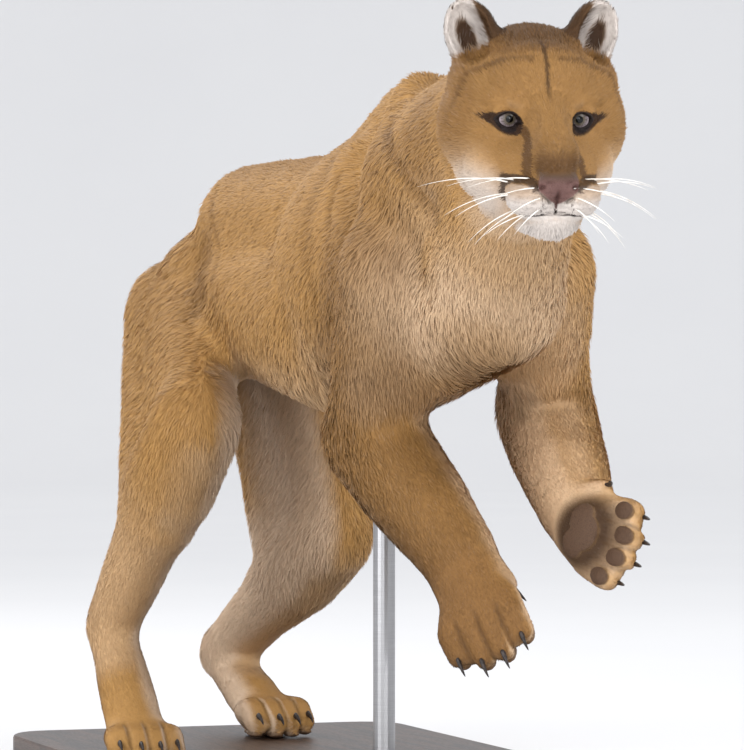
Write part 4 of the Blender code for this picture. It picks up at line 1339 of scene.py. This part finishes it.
def whisker(bm, root, way, bend, length):
    steps, count = whiskerLook["steps"], whiskerLook["sides"]
    side = unit(np.cross(way, bend))
    last = None
    for n in range(steps + 1):
        share = n / steps
        place = root + way * length * share + bend * length * whiskerLook["bend"] * share ** 2
        radius = whiskerLook["thick"] * (1 - share) ** 0.8 + whiskerLook["tip"]
        ring = []
        for k in range(count):
            a = 2 * math.pi * k / count
            ring.append(bm.verts.new(Vector(place + radius * (math.cos(a) * side + math.sin(a) * bend))))
        if last:
            for k in range(count):
                bm.faces.new((last[k - 1], last[k], ring[k], ring[k - 1]))
        last = ring


def makeWhiskers(skin):
    tree = BVHTree.FromObject(skin, bpy.context.evaluated_depsgraph_get())
    left, forward, up = headAxes
    bm = bmesh.new()
    for side in sides.values():
        for row in range(whiskerLook["rows"]):
            for n in range(whiskerLook["each"]):
                spot = vec(*whiskerLook["first"]) + n * vec(*whiskerLook["next"])
                spot[2] -= whiskerLook["rowDown"] * row
                root = tree.find_nearest(Vector(onHead(*spot * (side, 1, 1))))[0]
                out, ahead, rise = side * (0.85 + 0.05 * n), 0.26 - 0.16 * n, 0.06 - 0.30 * row + 0.05 * n
                way = unit(out * left + ahead * forward + rise * up)
                bend = unit(-0.75 * up - 0.45 * forward + 0.1 * side * left)
                bend = unit(bend - (bend @ way) * way)
                length = whiskerLook["length"] * (0.62 + 0.12 * n) * (1 - 0.12 * row)
                length *= chance.uniform(0.80, 1.05)
                whisker(bm, np.array(root) - whiskerLook["sunk"] * way, way, bend, length)
    mesh = meshFrom(bm, "whiskers")
    mesh.shade_smooth()
    made, shader, place = material("whiskerHair", Roughness=0.45)
    tone = place.noise(120.0).ease(0.35, 0.75)
    place.mix(whiskerLook["light"], whiskerLook["shade"], tone).feed(shader, "Base Color")
    mesh.materials.append(made)
    piece = link("whiskers", mesh)
    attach(piece, "root")
    print("whiskers made")


# Stand

standLook = {
    "wood": (colour(74, 54, 42), colour(40, 29, 23)), "pores": colour(24, 17, 14),
    "woodStretch": (14.0, 1.3, 14.0),
    "steel": (colour(178, 178, 180), colour(140, 140, 142)), "steelStretch": (1.0, 1.0, 60.0), "sharp": 40,
}


def boardMaterial():
    made, shader, place = material("standBoard", Coat_Weight=0.15, Coat_Roughness=0.3)
    stretched = place.node("ShaderNodeMapping", {}, {"Vector": place, "Scale": standLook["woodStretch"]})
    grain = stretched.noise(5.0, 6.0, Distortion=1.2).ease(0.35, 0.66)
    pores = stretched.noise(60.0, 3.0)
    wood = place.mix(*standLook["wood"], grain)
    place.mix(wood, standLook["pores"], pores.ease(0.60, 0.72)).feed(shader, "Base Color")
    (0.36 + 0.2 * pores).feed(shader, "Roughness")
    pores.bump(shader, 0.25, 0.0006)
    return made


def steelMaterial():
    made, shader, place = material("standSteel", Metallic=1.0)
    stretched = place.node("ShaderNodeMapping", {}, {"Vector": place, "Scale": standLook["steelStretch"]})
    brushed = stretched.noise(30.0, 3.0)
    place.mix(*standLook["steel"], brushed).feed(shader, "Base Color")
    (0.24 + 0.14 * brushed).feed(shader, "Roughness")
    return made


def dressStand():
    for node, look in (("stand_base", boardMaterial()), ("stand_rod", steelMaterial())):
        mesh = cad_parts[node].data
        mesh.materials.clear()
        mesh.materials.append(look)
        mesh.shade_smooth()
        mesh.set_sharp_from_angle(angle=math.radians(standLook["sharp"]))
    print("stand dressed")


# Floor, light and camera

view = {"azimuth": -19.0, "away": 4.3, "right": 0.027, "height": 0.43, "lens": 201.6, "sensor": 36}
room = {
    "radius": 12.0, "curve": 4.0, "spokes": 96, "tones": ((0.80, 0.80, 0.80, 1), (0.77, 0.77, 0.775, 1)),
    "air": (0.96, 0.97, 1.0, 1), "strength": 1.05, "aim": (0, -0.2, 0.45),
    "lamps": (  # name, place, size, power
        ("key", (1.2, -3.4, 2.4), 2.4, 62.0),
        ("fill", (-3.2, -2.0, 0.9), 3.0, 72.0),
        ("front", (-1.4, -4.8, 0.4), 2.4, 34.0),
        ("rim", (-1.2, 2.6, 2.6), 2.0, 35.0),
        ("catch", (-0.37, -4.31, 0.32), 0.32, 10.0),
    ),
}


def makeFloor():
    # round, and curved up at its rim
    curve, spokes = room["curve"], room["spokes"]
    angles = np.linspace(0, 2 * math.pi, spokes + 1)[:-1]
    bm = bmesh.new()
    rings = []
    for slope in np.linspace(0, 1.5, 14):
        out, rise = room["radius"] + curve * math.sin(slope), curve - curve * math.cos(slope)
        rings.append([bm.verts.new((out * math.cos(a), out * math.sin(a), rise)) for a in angles])
    bm.faces.new(rings[0])
    for a, b in zip(rings, rings[1:]):
        for n in range(spokes):
            bm.faces.new((a[n - 1], b[n - 1], b[n], a[n]))
    mesh = meshFrom(bm, "floor")
    mesh.shade_smooth()
    made, shader, place = material("floorPale", Roughness=0.85, Specular_IOR_Level=0.1)
    place.mix(*room["tones"], place.noise(1.5)).feed(shader, "Base Color")
    mesh.materials.append(made)
    floor = link("floor", mesh)


def setStage():
    scene = bpy.context.scene
    makeFloor()
    scene.world = bpy.data.worlds.new("softRoom")
    scene.world.use_nodes = True
    background = scene.world.node_tree.nodes["Background"]
    background.inputs["Color"].default_value = room["air"]
    background.inputs["Strength"].default_value = room["strength"]
    for name, place, size, power in room["lamps"]:
        lamp = bpy.data.lights.new(name, "AREA")
        lamp.shape, lamp.size, lamp.energy = "DISK", size, power
        obj = link(name, lamp)
        obj.location = place
        obj.rotation_euler = (Vector(room["aim"]) - Vector(place)).to_track_quat("-Z", "Y").to_euler()
    turn = math.radians(view["azimuth"])
    toward = Vector((math.sin(turn), -math.cos(turn), 0))
    right = Vector((math.cos(turn), math.sin(turn), 0))
    camera = link("camera", bpy.data.cameras.new("camera"))
    camera.location = view["away"] * toward + view["right"] * right + Vector((0, 0, view["height"]))
    camera.rotation_euler = (-toward).to_track_quat("-Z", "Y").to_euler()
    camera.data.lens, camera.data.sensor_width, camera.data.sensor_fit = view["lens"], view["sensor"], "AUTO"
    scene.camera = camera
    scene.view_settings.view_transform = "Standard"
    print("stage set")


skin = makeSkin()
unwrap(skin)
print("skin unwrapped")
dressSkin(skin)
makeCoat(skin)
for word, side in sides.items():
    makeEye(word, side)
makeClaws()
makeWhiskers(skin)
dressStand()
setStage()
